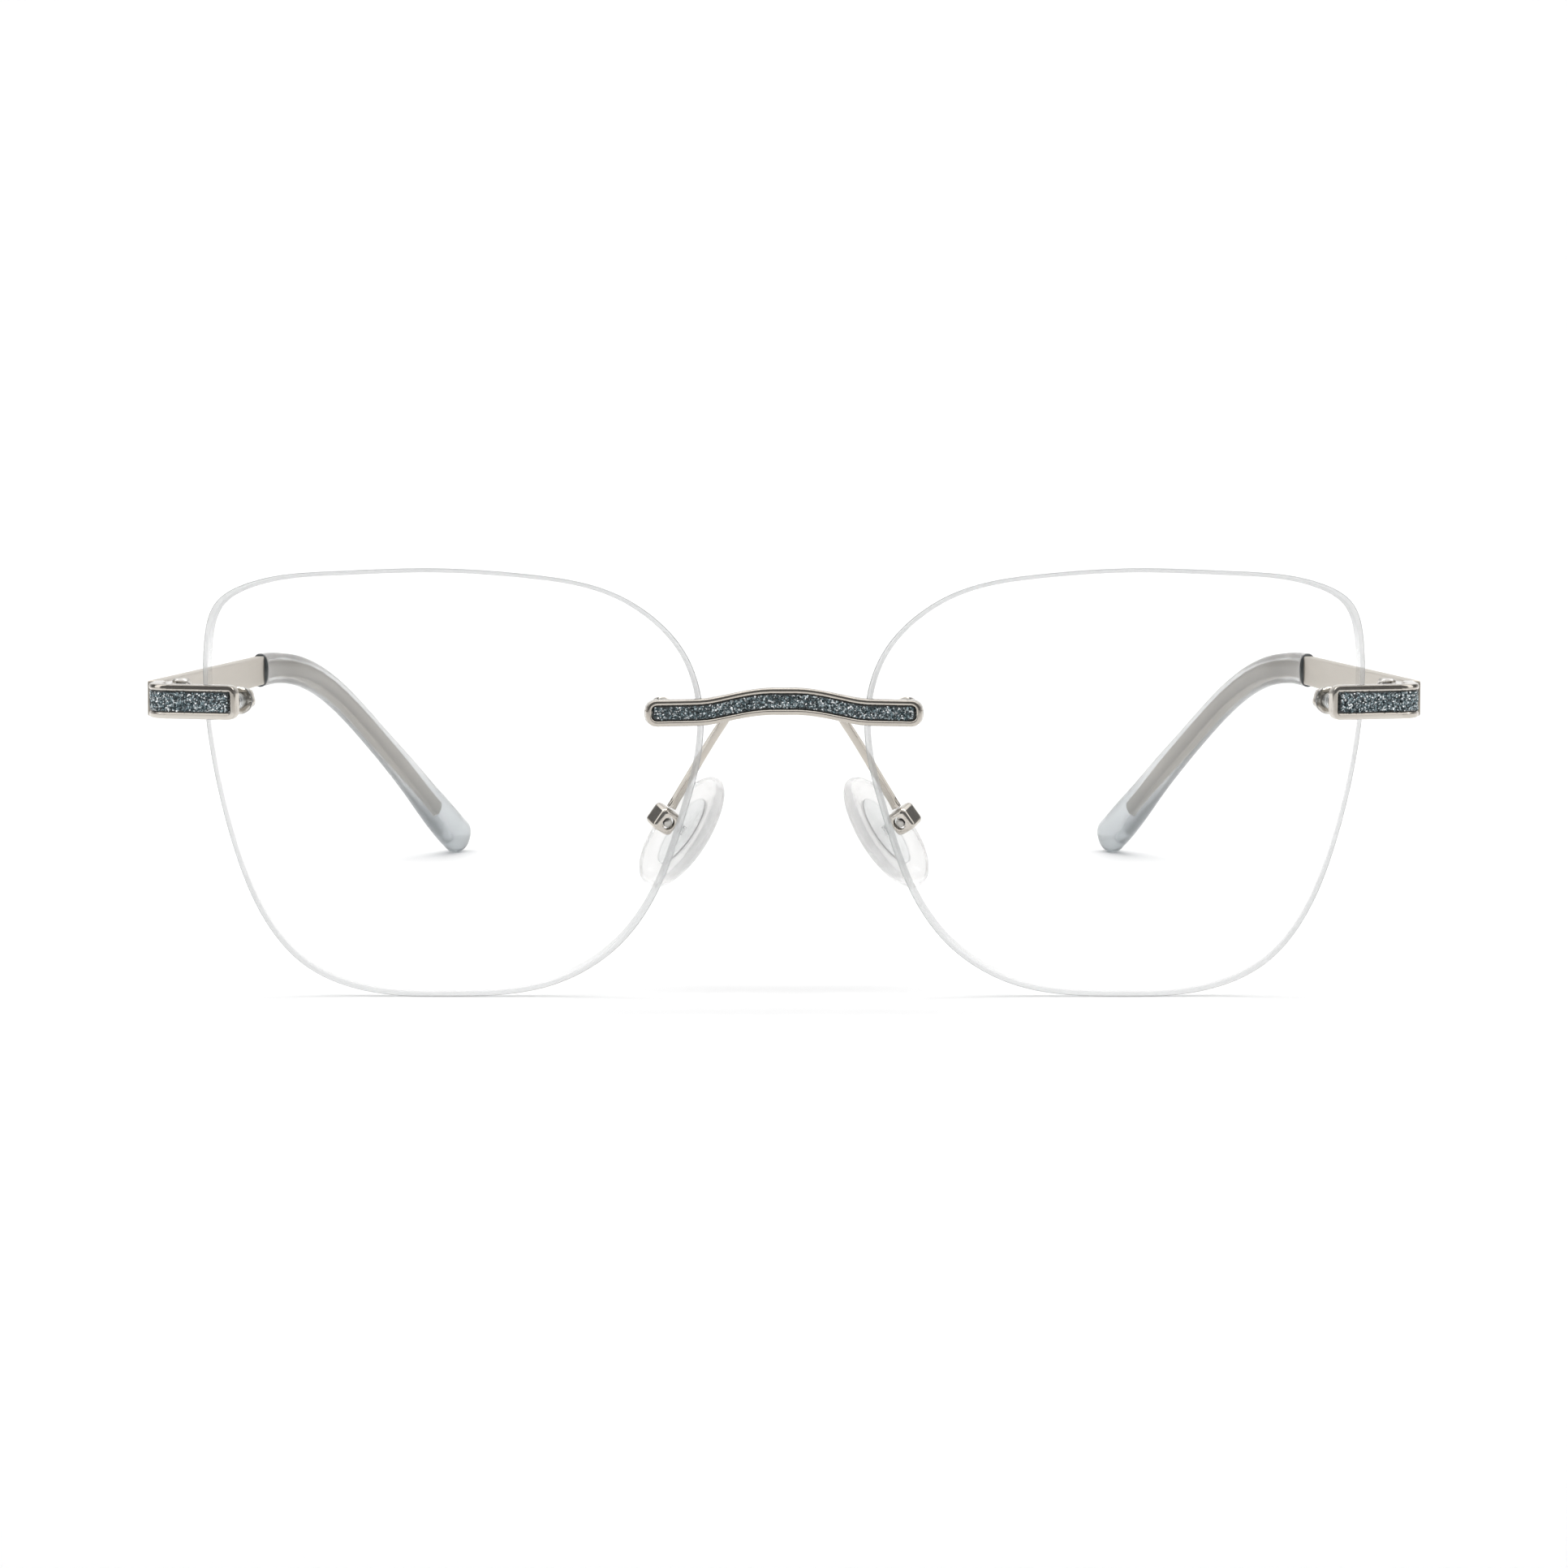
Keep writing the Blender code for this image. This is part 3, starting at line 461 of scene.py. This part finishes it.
def sparkle_resin():
    """Dark resin with a cell for each sunken flake."""
    resin = Finish("sparkle_resin", Coat_Weight=0.3)
    cells = resin.add("ShaderNodeTexVoronoi", {"feature": "F1"},
                      {"Vector": resin.place(), "Scale": 1.0 / CELL_SIZE}, "Color")
    tone = resin.add("ShaderNodeSeparateColor", None, {"Color": cells}, "Red")
    other = resin.add("ShaderNodeSeparateColor", None, {"Color": cells}, "Green")
    tones = [(0.0, (0.008, 0.012, 0.013)), (0.5, (0.045, 0.062, 0.07)), (0.75, (0.18, 0.24, 0.265)),
             (0.90, (0.52, 0.60, 0.62)), (0.97, (0.95, 0.97, 0.98))]
    resin.set("Base Color", resin.ramp(tone, tones))
    resin.set("Metallic", resin.fit(tone, 0.4, 0.8, 0.1, 0.9))
    resin.set("Roughness", 0.18 + other * 0.3)
    resin.bump(other, 0.06 * MM, 0.8)
    return resin.material


def flake(name, dark, pale):
    """One tone of flake, with a little difference from flake to flake."""
    foil = Finish(name, Metallic=0.85)
    shade = foil.noise(0.6 * MM, 1.0)
    foil.set("Base Color", foil.mix(shade, dark, pale))
    foil.set("Roughness", 0.14 + shade * 0.18)
    return foil.material


def bare_resin_and_shade():
    """The same resin where no flake lies: nearly black, its own dark tone with painted shade from the
    channel walls, and a wet gloss.
    """
    resin = Finish("bare_resin_and_shade", Coat_Weight=0.3)
    clouds = resin.noise(0.6 * MM, 2.0)
    resin.set("Base Color", resin.mix(clouds, (0.006, 0.009, 0.010), (0.02, 0.027, 0.03)))
    resin.set("Roughness", 0.25 + clouds * 0.15)
    return resin.material


RESIN = sparkle_resin()
BARE_RESIN_AND_SHADE = bare_resin_and_shade()
FLAKES = [
    flake("flake_dark", (0.02, 0.035, 0.04), (0.07, 0.10, 0.11)),
    flake("flake_blue", (0.13, 0.19, 0.21), (0.30, 0.38, 0.41)),
    flake("flake_pale", (0.45, 0.54, 0.57), (0.66, 0.72, 0.75)),
    flake("flake_bright", (0.86, 0.90, 0.92), (0.98, 0.99, 1.0)),
]
FLAKE_SHARES = [0.46, 0.27, 0.15, 0.12]
print("flake tones:", [f.name for f in FLAKES])

# %% [markdown]
# ## Paper
# The paper is nearly white and quite matt, with the faintest tooth.

# %% Paper finish
sheet = Finish("white_paper", Roughness=0.9)
tooth = sheet.noise(2.0 * MM, 3.0)
sheet.set("Base Color", sheet.mix(tooth, (0.93, 0.93, 0.93), (0.95, 0.95, 0.95)))
sheet.bump(tooth, 0.02 * MM)
paper.data.materials.append(sheet.material)
print("paper finish:", sheet.material.name)

# %% [markdown]
# ## From mesh to piece
# Every piece ends the same way: its mesh becomes an object, smooth where it should be smooth and crisp at
# real corners, and it is hung on the body that it moves with. Many of the ready-made parts have the right
# shape but corners as sharp as a drawing's. A copy of such a part has its loose triangles merged back into
# four-sided faces, and its corners rounded over as polishing does; it then stands in for the part.

# %% Making pieces
WELD = 0.001 * MM
FLAT_ANGLE = math.radians(2.0)
SQUARE_ANGLE = math.radians(80.0)
SHARP_ANGLE = math.radians(32.0)
LARGE_FACE_WEIGHT = 80


def keep(name, mesh, finishes, node, crisp=40.0):
    """Makes a piece from a mesh; it rides on the body of a CAD node."""
    for face in mesh.faces:
        face.smooth = True
    for edge in mesh.edges:
        edge.smooth = edge.calc_face_angle(0.0) < math.radians(crisp)
    data = bpy.data.meshes.new(name)
    mesh.to_mesh(data)
    mesh.free()
    for finish in finishes:
        data.materials.append(finish)
    piece = bpy.data.objects.new(name, data)
    bpy.context.scene.collection.objects.link(piece)
    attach(piece, frame["nodes"][node]["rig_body"])
    return piece


def merged(node):
    """A CAD node's shape as one skin, with its triangles joined into four-sided faces."""
    mesh = bmesh.new()
    mesh.from_mesh(frame["nodes"][node].data)
    bmesh.ops.remove_doubles(mesh, verts=mesh.verts, dist=WELD)
    for face in mesh.faces:
        face.material_index = 0
    bmesh.ops.join_triangles(mesh, faces=mesh.faces, cmp_seam=False, cmp_sharp=False, cmp_uvs=False,
                             angle_face_threshold=FLAT_ANGLE, angle_shape_threshold=SQUARE_ANGLE)
    return mesh


def even_shading(piece):
    """Lets the large faces decide how the rounded corners between them are shaded."""
    even = piece.modifiers.new("even shading", "WEIGHTED_NORMAL")
    even.keep_sharp = True
    even.weight = LARGE_FACE_WEIGHT


def refined(node, finish, radius, segments=2):
    """A copy of a CAD node with its sharp edges rounded over."""
    mesh = merged(node)
    sharp = [edge for edge in mesh.edges if edge.calc_face_angle(0.0) > SHARP_ANGLE]
    bmesh.ops.bevel(mesh, geom=sharp, offset=radius, segments=segments, profile=0.5, affect="EDGES",
                    material=-1, clamp_overlap=True)
    piece = keep(node + "_fine", mesh, [finish], node)
    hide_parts(node)
    even_shading(piece)
    print(piece.name, len(piece.data.polygons), "faces")


# %% [markdown]
# ## Lenses
# A lens blank is a thick saucer; the shape is cut from it with a grinding wheel, and the edge keeps a
# small bevel on each side. Here the outline is a closed curve through a few points, with no kink in its
# curvature. It is extruded inwards in rings, each smaller than the last, so that the flat sheet has enough
# points to be bent onto a sphere. Solidify gives it its thickness, a bevel breaks its edges, and a Boolean
# modifier drills the holes.

# %% Lens shape
LENS_OUTLINE = [
    (63.75, 34.6), (63.65, 39.6), (62.4, 43.8), (58.65, 46.1), (49.0, 47.45), (38.5, 47.8),
    (28.0, 47.15), (18.65, 45.1), (14.25, 42.4), (10.85, 38.55), (9.0, 33.2), (9.0, 27.7),
    (10.8, 20.4), (13.35, 13.1), (18.2, 5.75), (26.0, 1.15), (36.4, 0.0), (46.6, 0.6),
    (53.3, 3.45), (57.75, 8.9), (60.8, 16.9), (62.85, 26.2),
]
LENS_STEPS = 14
LENS_MIDDLE = Vector((36.4, 0.0, 24.0)) * MM
LENS_THICK = 1.9 * MM
LENS_BEVEL = {"front": 0.12 * MM, "back": 0.30 * MM}
LENS_RINGS = (0.97, 0.9, 0.8, 0.68, 0.55, 0.42, 0.28, 0.14)
HOLE_R = 1.0 * MM
DRILL_LENGTH = 12.0 * MM
DRILL_SIDES = 32
STUD_END = 0.3 * MM
FACE_LEAN = 0.93
FRONT_LEAN = -0.35
RIM_ANGLE = math.radians(60.0)


def closed_curve(points, steps):
    """Points along a closed curve through the given ones, with continuous curvature."""
    pts = np.array(points)
    count = len(pts)
    gap = np.linalg.norm(np.roll(pts, -1, 0) - pts, axis=1)
    before = np.roll(gap, 1)
    slopes = (np.roll(pts, -1, 0) - pts) / gap[:, None]
    matrix = np.diag(2 * (before + gap))
    for i in range(count):
        matrix[i, i - 1] += before[i]
        matrix[i, (i + 1) % count] += gap[i]
    bend = np.linalg.solve(matrix, 6 * (slopes - np.roll(slopes, 1, 0)))
    curve = []
    for i in range(count):
        nearby, far = bend[i], bend[(i + 1) % count]
        start = slopes[i] - gap[i] * (2 * nearby + far) / 6
        for t in gap[i] * np.arange(steps) / steps:
            curve.append(pts[i] + start * t + nearby * t * t / 2 + (far - nearby) * t ** 3 / (6 * gap[i]))
    return curve


OUTLINE = closed_curve(LENS_OUTLINE, LENS_STEPS)
print("outline points:", len(OUTLINE))

# %% [markdown]
# The sphere's middle lies behind the lens. Every point of the sheet is moved back onto the sphere. Each
# hole runs along its stud, so the drill is a cylinder laid between the middles of the stud's two ends.

# %% Lens building
def on_sphere(x, z):
    """The point of the lens's front face at x and z."""
    across, high = x - LENS_APEX.x, z - LENS_APEX.z
    back = LENS_RADIUS - math.sqrt(LENS_RADIUS ** 2 - across ** 2 - high ** 2)
    return Vector((x, LENS_APEX.y + back, z))


def sheet_of_rings():
    """The lens's flat outline filled with rings."""
    mesh = bmesh.new()
    verts = [mesh.verts.new((x * MM, 0.0, z * MM)) for x, z in OUTLINE]
    row = [mesh.edges.new((verts[i - 1], verts[i])) for i in range(len(verts))]
    size = 1.0
    for ring in LENS_RINGS:
        grown = bmesh.ops.extrude_edge_only(mesh, edges=row)["geom"]
        row = [part for part in grown if isinstance(part, bmesh.types.BMEdge)]
        inner = [part for part in grown if isinstance(part, bmesh.types.BMVert)]
        bmesh.ops.scale(mesh, verts=inner, vec=(ring / size,) * 3, space=Matrix.Translation(-LENS_MIDDLE))
        size = ring
    bmesh.ops.contextual_create(mesh, geom=row)
    last = max(mesh.faces, key=lambda face: len(face.verts))
    bmesh.ops.poke(mesh, faces=[last])
    for vert in mesh.verts:
        vert.co = on_sphere(vert.co.x, vert.co.z)
    bmesh.ops.recalc_face_normals(mesh, faces=mesh.faces)
    return mesh


def lens_finish_of(face):
    """0 for a face of the lens, 1 for the edge and the bevel behind it, and 2 for the bevel in front."""
    middle = LENS_APEX + Vector((0.0, LENS_RADIUS, 0.0))
    lean = face.normal.dot((middle - face.calc_center_median()).normalized())
    if abs(lean) > FACE_LEAN:
        return 0
    return 2 if lean < FRONT_LEAN else 1


def rim_of(edge):
    """Which of the lens's two rims an edge lies on."""
    middle = (edge.verts[0].co + edge.verts[1].co) / 2
    depth = LENS_RADIUS - (middle - LENS_APEX - Vector((0.0, LENS_RADIUS, 0.0))).length
    return "front" if depth < LENS_THICK / 2 else "back"


def stud_ends(stud):
    """The middles of a stud's two ends, front one first."""
    points = [vert.co for vert in frame["nodes"][stud].data.vertices]
    levels = (min(point.y for point in points), max(point.y for point in points))
    rings = [[point for point in points if abs(point.y - level) < STUD_END] for level in levels]
    return [sum(ring, Vector()) / len(ring) for ring in rings]


def drill(piece, studs):
    """Cuts a round hole in a lens for each stud."""
    for stud in studs:
        front, back = stud_ends(stud)
        turn = (back - front).to_track_quat("Z", "Y").to_matrix().to_4x4()
        cutter = bmesh.new()
        bmesh.ops.create_cone(cutter, cap_ends=True, segments=DRILL_SIDES, radius1=HOLE_R, radius2=HOLE_R,
                              depth=DRILL_LENGTH, matrix=Matrix.Translation(front) @ turn)
        data = bpy.data.meshes.new("drill")
        cutter.to_mesh(data)
        cutter.free()
        tool = bpy.data.objects.new("drill", data)
        bpy.context.scene.collection.objects.link(tool)
        hole = piece.modifiers.new("hole", "BOOLEAN")
        hole.operation = "DIFFERENCE"
        hole.object = tool
        bpy.context.view_layer.update()
        drilled = piece.evaluated_get(bpy.context.evaluated_depsgraph_get())
        piece.data = bpy.data.meshes.new_from_object(drilled)
        piece.modifiers.remove(hole)
        bpy.data.objects.remove(tool, do_unlink=True)


def make_lens(word, side):
    """One drilled lens."""
    mesh = sheet_of_rings()
    towards_back = sum(face.normal.y for face in mesh.faces) > 0
    bmesh.ops.solidify(mesh, geom=mesh.faces[:], thickness=-LENS_THICK if towards_back else LENS_THICK)
    bmesh.ops.recalc_face_normals(mesh, faces=mesh.faces)
    for rim, width in LENS_BEVEL.items():
        sharp = [edge for edge in mesh.edges if edge.calc_face_angle(0.0) > RIM_ANGLE]
        near = [edge for edge in sharp if rim_of(edge) == rim]
        bmesh.ops.bevel(mesh, geom=near, offset=width, segments=1, profile=0.5, affect="EDGES", material=-1)
    for face in mesh.faces:
        face.material_index = lens_finish_of(face)
    if side < 0:
        bmesh.ops.scale(mesh, verts=mesh.verts, vec=(-1.0, 1.0, 1.0))
        bmesh.ops.reverse_faces(mesh, faces=mesh.faces)
    piece = keep("clear_lens_" + word, mesh, [LENS_FACE, LENS_EDGE, LENS_LINE], "lens_" + word, crisp=30.0)
    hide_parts("lens_" + word)
    drill(piece, ["bridge_stud_" + word, "end_stud_" + word])
    print(piece.name, len(piece.data.polygons), "faces")


for word, side in SIDES.items():
    make_lens(word, side)

# %% [markdown]
# ## Bridge, end pieces and small metal parts
# The bridge and the end pieces are cast, tumbled and polished before they are plated, so every edge of
# theirs is soft. Their shape is right as it comes, with the channel already sunk in it; the copy rounds
# the edges that are still sharp. The nuts, arms, boxes, hinges and screws are treated the same way, each
# with a radius to suit its size.

# %% Metal parts
PLATE_ROUND = 0.16 * MM
NUT_ROUND = 0.08 * MM
SMALL_ROUND = 0.05 * MM
SCREW_ROUND = 0.03 * MM
PLATE_STEPS = 3

for word in SIDES:
    refined("end_piece_" + word, NICKEL, PLATE_ROUND, PLATE_STEPS)
    for part in ("bridge_nut_", "end_nut_"):
        refined(part + word, NICKEL, NUT_ROUND)
    for part in ("pad_arm_", "pad_box_", "hinge_front_", "hinge_rear_"):
        refined(part + word, NICKEL, SMALL_ROUND)
    for screw in ("bridge_stud_", "end_stud_", "pad_screw_", "hinge_screw_"):
        refined(screw + word, STEEL, SCREW_ROUND)
refined("bridge_bar", NICKEL, PLATE_ROUND, PLATE_STEPS)

# %% [markdown]
# ## Sleeves and washers
# Between metal and lens there is always plastic, so that the lens doesn't crack: a sleeve in each hole and
# a washer under each nut. They were cut from clear rod, so their edges are barely broken.

# %% Clear hardware
WASHER_ROUND = 0.04 * MM

for word in SIDES:
    for part in ("bridge_sleeve_", "end_sleeve_", "bridge_washer_", "end_washer_"):
        refined(part + word, PLASTIC, WASHER_ROUND)

# %% [markdown]
# ## Sparkling inlays
# The resin strips keep their shape. Their front faces are inset: the narrow border, where the resin meets
# the metal, is bare dark resin, painted nearly black as the shade that the channel walls cast, and inside
# it lies the cell pattern. There, too, lie the flakes that break the surface: thin six-sided plates, each
# tilted its own way, so that some catch the lamps and some the dark room. They are scattered with a seeded
# random order, so every run gives the same ones.

# %% Flakes
FLAKE_R = (0.07 * MM, 0.125 * MM)
FLAKE_THICK = 0.03 * MM
FLAKE_TILT = 24.0
FLAKE_LIFT = 0.01 * MM
FLAKES_PER_MM2 = 28.0
# Width of the bare resin border, which is painted dark as the shade of the channel walls.
BORDER = 0.2 * MM
SMALL_FACE = 0.15 * MM
OUTWARD = 0.5
FLAKE_SIDES = 6
BRIDGE_SEED = 11
END_SEED = 20


def outer_faces(mesh, middle):
    """The faces of a strip that look away from a point behind it."""
    return [face for face in mesh.faces
            if face.normal.dot((face.calc_center_median() - middle).normalized()) > OUTWARD
            and face.calc_area() > SMALL_FACE ** 2]


def scatter(node, seed, middle):
    """Resin with a border of bare resin, painted dark as shade from the channel walls, and flakes inside
    the border as one piece that rides with it.
    """
    luck = random.Random(seed)
    strip = merged(node)
    border = bmesh.ops.inset_region(strip, faces=outer_faces(strip, middle), thickness=BORDER,
                                    use_even_offset=False, use_boundary=True)["faces"]
    # Painted shade: the border faces take the nearly black resin, where the channel walls cast shade.
    for face in border:
        face.material_index = 1
    piece = keep(node + "_resin", strip.copy(), [RESIN, BARE_RESIN_AND_SHADE], node, crisp=30.0)
    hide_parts(node)
    bmesh.ops.triangulate(strip, faces=strip.faces)
    faces = [face for face in outer_faces(strip, middle) if face.material_index == 0]
    areas = [face.calc_area() for face in faces]
    count = int(sum(areas) / MM ** 2 * FLAKES_PER_MM2)
    flakes = bmesh.new()
    for face in luck.choices(faces, areas, k=count):
        a, b, c = (vert.co for vert in face.verts)
        u, v = luck.random(), luck.random()
        if u + v > 1.0:
            u, v = 1.0 - u, 1.0 - v
        place = a + (b - a) * u + (c - a) * v + face.normal * FLAKE_LIFT
        turn = face.normal.to_track_quat("Z", "Y").to_matrix().to_4x4()
        tilt = Matrix.Rotation(math.radians(luck.uniform(-FLAKE_TILT, FLAKE_TILT)), 4, "X")
        lean = Matrix.Rotation(math.radians(luck.uniform(-FLAKE_TILT, FLAKE_TILT)), 4, "Y")
        radius = luck.uniform(*FLAKE_R)
        pose = Matrix.Translation(place) @ turn @ tilt @ lean
        made = bmesh.ops.create_cone(flakes, cap_ends=True, segments=FLAKE_SIDES, radius1=radius,
                                     radius2=radius, depth=FLAKE_THICK, matrix=pose)
        tone = luck.choices(range(len(FLAKES)), FLAKE_SHARES)[0]
        for vert in made["verts"]:
            for side_face in vert.link_faces:
                side_face.material_index = tone
    strip.free()
    piece = keep(node + "_flakes", flakes, FLAKES, node, crisp=20.0)
    print(piece.name, count, "flakes")


BRIDGE_MIDDLE = Vector((0.0, 200.0, 33.0)) * MM
scatter("bridge_inlay", BRIDGE_SEED, BRIDGE_MIDDLE)
for word, side in SIDES.items():
    low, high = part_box("end_piece_" + word)
    corner = Vector(((low.x if side > 0 else high.x), high.y, (low.z + high.z) / 2))
    scatter("end_inlay_" + word, END_SEED + side, corner)
print("inlays filled")

# %% [markdown]
# ## Temples
# A temple is a flat bar of brushed metal. Behind the ear it goes on as a thinner core, and a sleeve of
# translucent plastic is pushed over it. The bar keeps its shape, with its long edges broken by the brush.

# %% Temple bars
for word in SIDES:
    refined("temple_bar_" + word, SATIN, SMALL_ROUND)

# %% [markdown]
# ## Temple tips
# Through the plastic the core shows as a soft brown stripe, so the tip is made as a solid skin around it:
# light that enters the plastic reaches the metal without passing a gap of air. The tip is a loft. A circle
# is placed at each station of the route, squashed to the tip's width and height there, and the circles are
# bridged.

# %% Loft
def section(place, along, half_w, half_h):
    """A matrix that lays a unit circle across a route, upright."""
    along = along.normalized()
    out = along.cross(Vector((0.0, 0.0, 1.0))).normalized()
    up = out.cross(along)
    turn = Matrix((out * half_w, up * half_h, along)).transposed().to_4x4()
    return Matrix.Translation(place) @ turn


def loft(sections, segments, boxy=2.0):
    """A closed skin over circles; a boxy value above 2 squares them off."""
    mesh = bmesh.new()
    rows = []
    for matrix in sections:
        verts = bmesh.ops.create_circle(mesh, cap_ends=False, segments=segments, radius=1.0)["verts"]
        for vert in verts:
            fullness = (abs(vert.co.x) ** boxy + abs(vert.co.y) ** boxy) ** (-1.0 / boxy)
            vert.co = matrix @ (vert.co * fullness)
        rows.append(list({edge for vert in verts for edge in vert.link_edges}))
    for low, high in zip(rows, rows[1:]):
        bmesh.ops.bridge_loops(mesh, edges=low + high)
    for row in (rows[0], rows[-1]):
        bmesh.ops.contextual_create(mesh, geom=row)
    bmesh.ops.recalc_face_normals(mesh, faces=mesh.faces)
    return mesh


def smooth_values(knots, t):
    """A value that moves smoothly between (position, value) knots."""
    for (t0, v0), (t1, v1) in zip(knots, knots[1:]):
        if t <= t1:
            share = (t - t0) / (t1 - t0)
            return v0 + (v1 - v0) * share * share * (3.0 - 2.0 * share)
    return knots[-1][1]

# %% [markdown]
# The route is the one that the core follows: it leaves in line with the bar, bends down behind the ear and
# leans in towards the head. A Catmull-Rom spline through its points makes it smooth.

# %% Tip route
GLASSES_SHIFT = -68.64
BAR_START = (70.2, 8.15, 32.95)
TIP_ROUTE = [
    (68.8, 81.5, 30.65), (67.45, 86.5, 30.6), (65.5, 91.6, 29.95), (63.7, 97.0, 28.5),
    (61.9, 102.2, 26.3), (59.9, 107.4, 23.3), (57.2, 114.0, 18.75), (54.05, 121.2, 13.35),
    (51.25, 128.0, 8.1), (49.05, 133.4, 4.15), (48.05, 135.9, 2.48),
]
ROUTE_STEPS = 8
LEAD = 5 * MM


def in_place(point):
    """A point of the drawing, in metres and in the glasses' own frame."""
    x, y, z = point
    return Vector((x, y + GLASSES_SHIFT, z)) * MM


def smooth_route(points, steps):
    """Points along an open curve through the given ones."""
    pts = [points[0] * 2 - points[1]] + points + [points[-1] * 2 - points[-2]]
    route = []
    for a, b, c, d in zip(pts, pts[1:], pts[2:], pts[3:]):
        for t in (k / steps for k in range(steps)):
            bend = (2 * a - 5 * b + 4 * c - d) * t * t + (3 * b - a - 3 * c + d) * t ** 3
            route.append(0.5 * (2 * b + (c - a) * t + bend))
    return route + [pts[-2]]


bar_way = (in_place(TIP_ROUTE[0]) - in_place(BAR_START)).normalized()
lead = in_place(TIP_ROUTE[0]) - bar_way * LEAD
TIP_LINE = smooth_route([lead] + [in_place(p) for p in TIP_ROUTE], ROUTE_STEPS)[ROUTE_STEPS:]
print("tip route:", len(TIP_LINE), "points")

# %% Temple tips
TIP_HALF_H = [(0.0, 2.2), (0.12, 2.02), (0.55, 1.98), (0.93, 2.65), (1.0, 2.6)]
TIP_HALF_W = [(0.0, 1.08), (0.3, 1.25), (0.75, 1.45), (0.97, 2.0), (1.0, 2.0)]
TIP_ROUND = 2.2 * MM
MOUTH_ROUND = 0.16
TIP_SIDES = 40
TIP_BOXY = 2.3
END_STEP = 12


def tip_sections():
    """The stations of the tip: its mouth, its length and its rounded end."""
    lengths = np.cumsum([0.0] + [(b - a).length for a, b in zip(TIP_LINE, TIP_LINE[1:])])
    stations = []
    for i, place in enumerate(TIP_LINE):
        t = lengths[i] / lengths[-1]
        along = TIP_LINE[min(i + 1, len(TIP_LINE) - 1)] - TIP_LINE[max(i - 1, 0)]
        stations.append((place, along, smooth_values(TIP_HALF_W, t), smooth_values(TIP_HALF_H, t)))
    place, along, half_w, half_h = stations[0]
    start = (place, along, half_w - MOUTH_ROUND, half_h - MOUTH_ROUND)
    stations[0] = (place + along.normalized() * MOUTH_ROUND * MM, along, half_w, half_h)
    stations.insert(0, start)
    place, along, half_w, half_h = stations[-1]
    for turn in range(END_STEP, 90, END_STEP):
        far = along.normalized() * TIP_ROUND * math.sin(math.radians(turn))
        slim = math.cos(math.radians(turn))
        stations.append((place + far, along, half_w * slim, half_h * slim))
    return [section(place, along, half_w * MM, half_h * MM) for place, along, half_w, half_h in stations]


for word, side in SIDES.items():
    tip = loft(tip_sections(), TIP_SIDES, TIP_BOXY)
    if side < 0:
        bmesh.ops.scale(tip, verts=tip.verts, vec=(-1.0, 1.0, 1.0))
        bmesh.ops.reverse_faces(tip, faces=tip.faces)
    piece = keep("clear_tip_" + word, tip, [ACETATE], "temple_tip_" + word, crisp=50.0)
    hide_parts("temple_tip_" + word)
    print(piece.name, len(piece.data.polygons), "faces")

# %% [markdown]
# ## Nose pads
# A pad is a drop of clear silicone moulded round a stiff oval plate. The side that rests on the nose is
# gently domed; the other side has a raised rim round a shallow hollow, where the plate's lug comes out to
# the box. It is a stack of ovals, like the tip, and one formula then makes the lower end fuller than the
# upper.

# %% Nose pads
PAD_LONG = Vector((0.573, 0.0, -0.8195))
BOX_FACE = Vector((-0.688, 0.543, -0.481))
BOX_ACROSS = PAD_LONG.cross(BOX_FACE).normalized()
PAD_TURN = math.radians(8.0)
PAD_FACE = BOX_FACE * math.cos(PAD_TURN) + BOX_ACROSS * math.sin(PAD_TURN)
PAD_ACROSS = BOX_ACROSS * math.cos(PAD_TURN) - BOX_FACE * math.sin(PAD_TURN)
BOX_AT = in_place((13.6, 12.2, 19.0))
PAD_OUT = 3.3 * MM
PAD_DOWN = 0.15 * MM
PAD_HALF_L = 7.3 * MM
PAD_HALF_W = 3.85 * MM
PAD_HALF_T = 1.1 * MM
PAD_FULLER = 0.1
PAD_SIDES = 64
PAD_PROFILE = [
    (0.25, -0.56), (0.50, -0.56), (0.66, -0.58), (0.715, -0.66), (0.75, -0.84), (0.80, -0.97), (0.86, -1.0),
    (0.93, -0.9), (0.975, -0.62), (0.995, -0.3), (1.0, -0.05), (0.99, 0.2), (0.96, 0.46), (0.9, 0.72),
    (0.8, 0.9), (0.66, 1.01), (0.45, 1.09), (0.2, 1.13),
]


def make_pad(word, side):
    """One nose pad."""
    middle = BOX_AT + BOX_FACE * PAD_OUT + PAD_LONG * PAD_DOWN
    turn = Matrix((PAD_LONG, PAD_ACROSS, PAD_FACE)).transposed().to_4x4()
    ovals = [Matrix.Translation((0.0, 0.0, height * PAD_HALF_T)) @ Matrix.Diagonal(
        (scale * PAD_HALF_L, scale * PAD_HALF_W, 1.0, 1.0)) for scale, height in PAD_PROFILE]
    pad = loft(ovals, PAD_SIDES)
    for vert in pad.verts:
        vert.co.y *= 1.0 + PAD_FULLER * vert.co.x / PAD_HALF_L
    bmesh.ops.transform(pad, matrix=Matrix.Translation(middle) @ turn, verts=pad.verts)
    if side < 0:
        bmesh.ops.scale(pad, verts=pad.verts, vec=(-1.0, 1.0, 1.0))
    bmesh.ops.recalc_face_normals(pad, faces=pad.faces)
    piece = keep("silicone_pad_" + word, pad, [SILICONE], "nose_pad_" + word, crisp=60.0)
    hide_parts("nose_pad_" + word)
    print(piece.name, len(piece.data.polygons), "faces")


for word, side in SIDES.items():
    make_pad(word, side)
    refined("pad_core_" + word, PLASTIC, SMALL_ROUND)
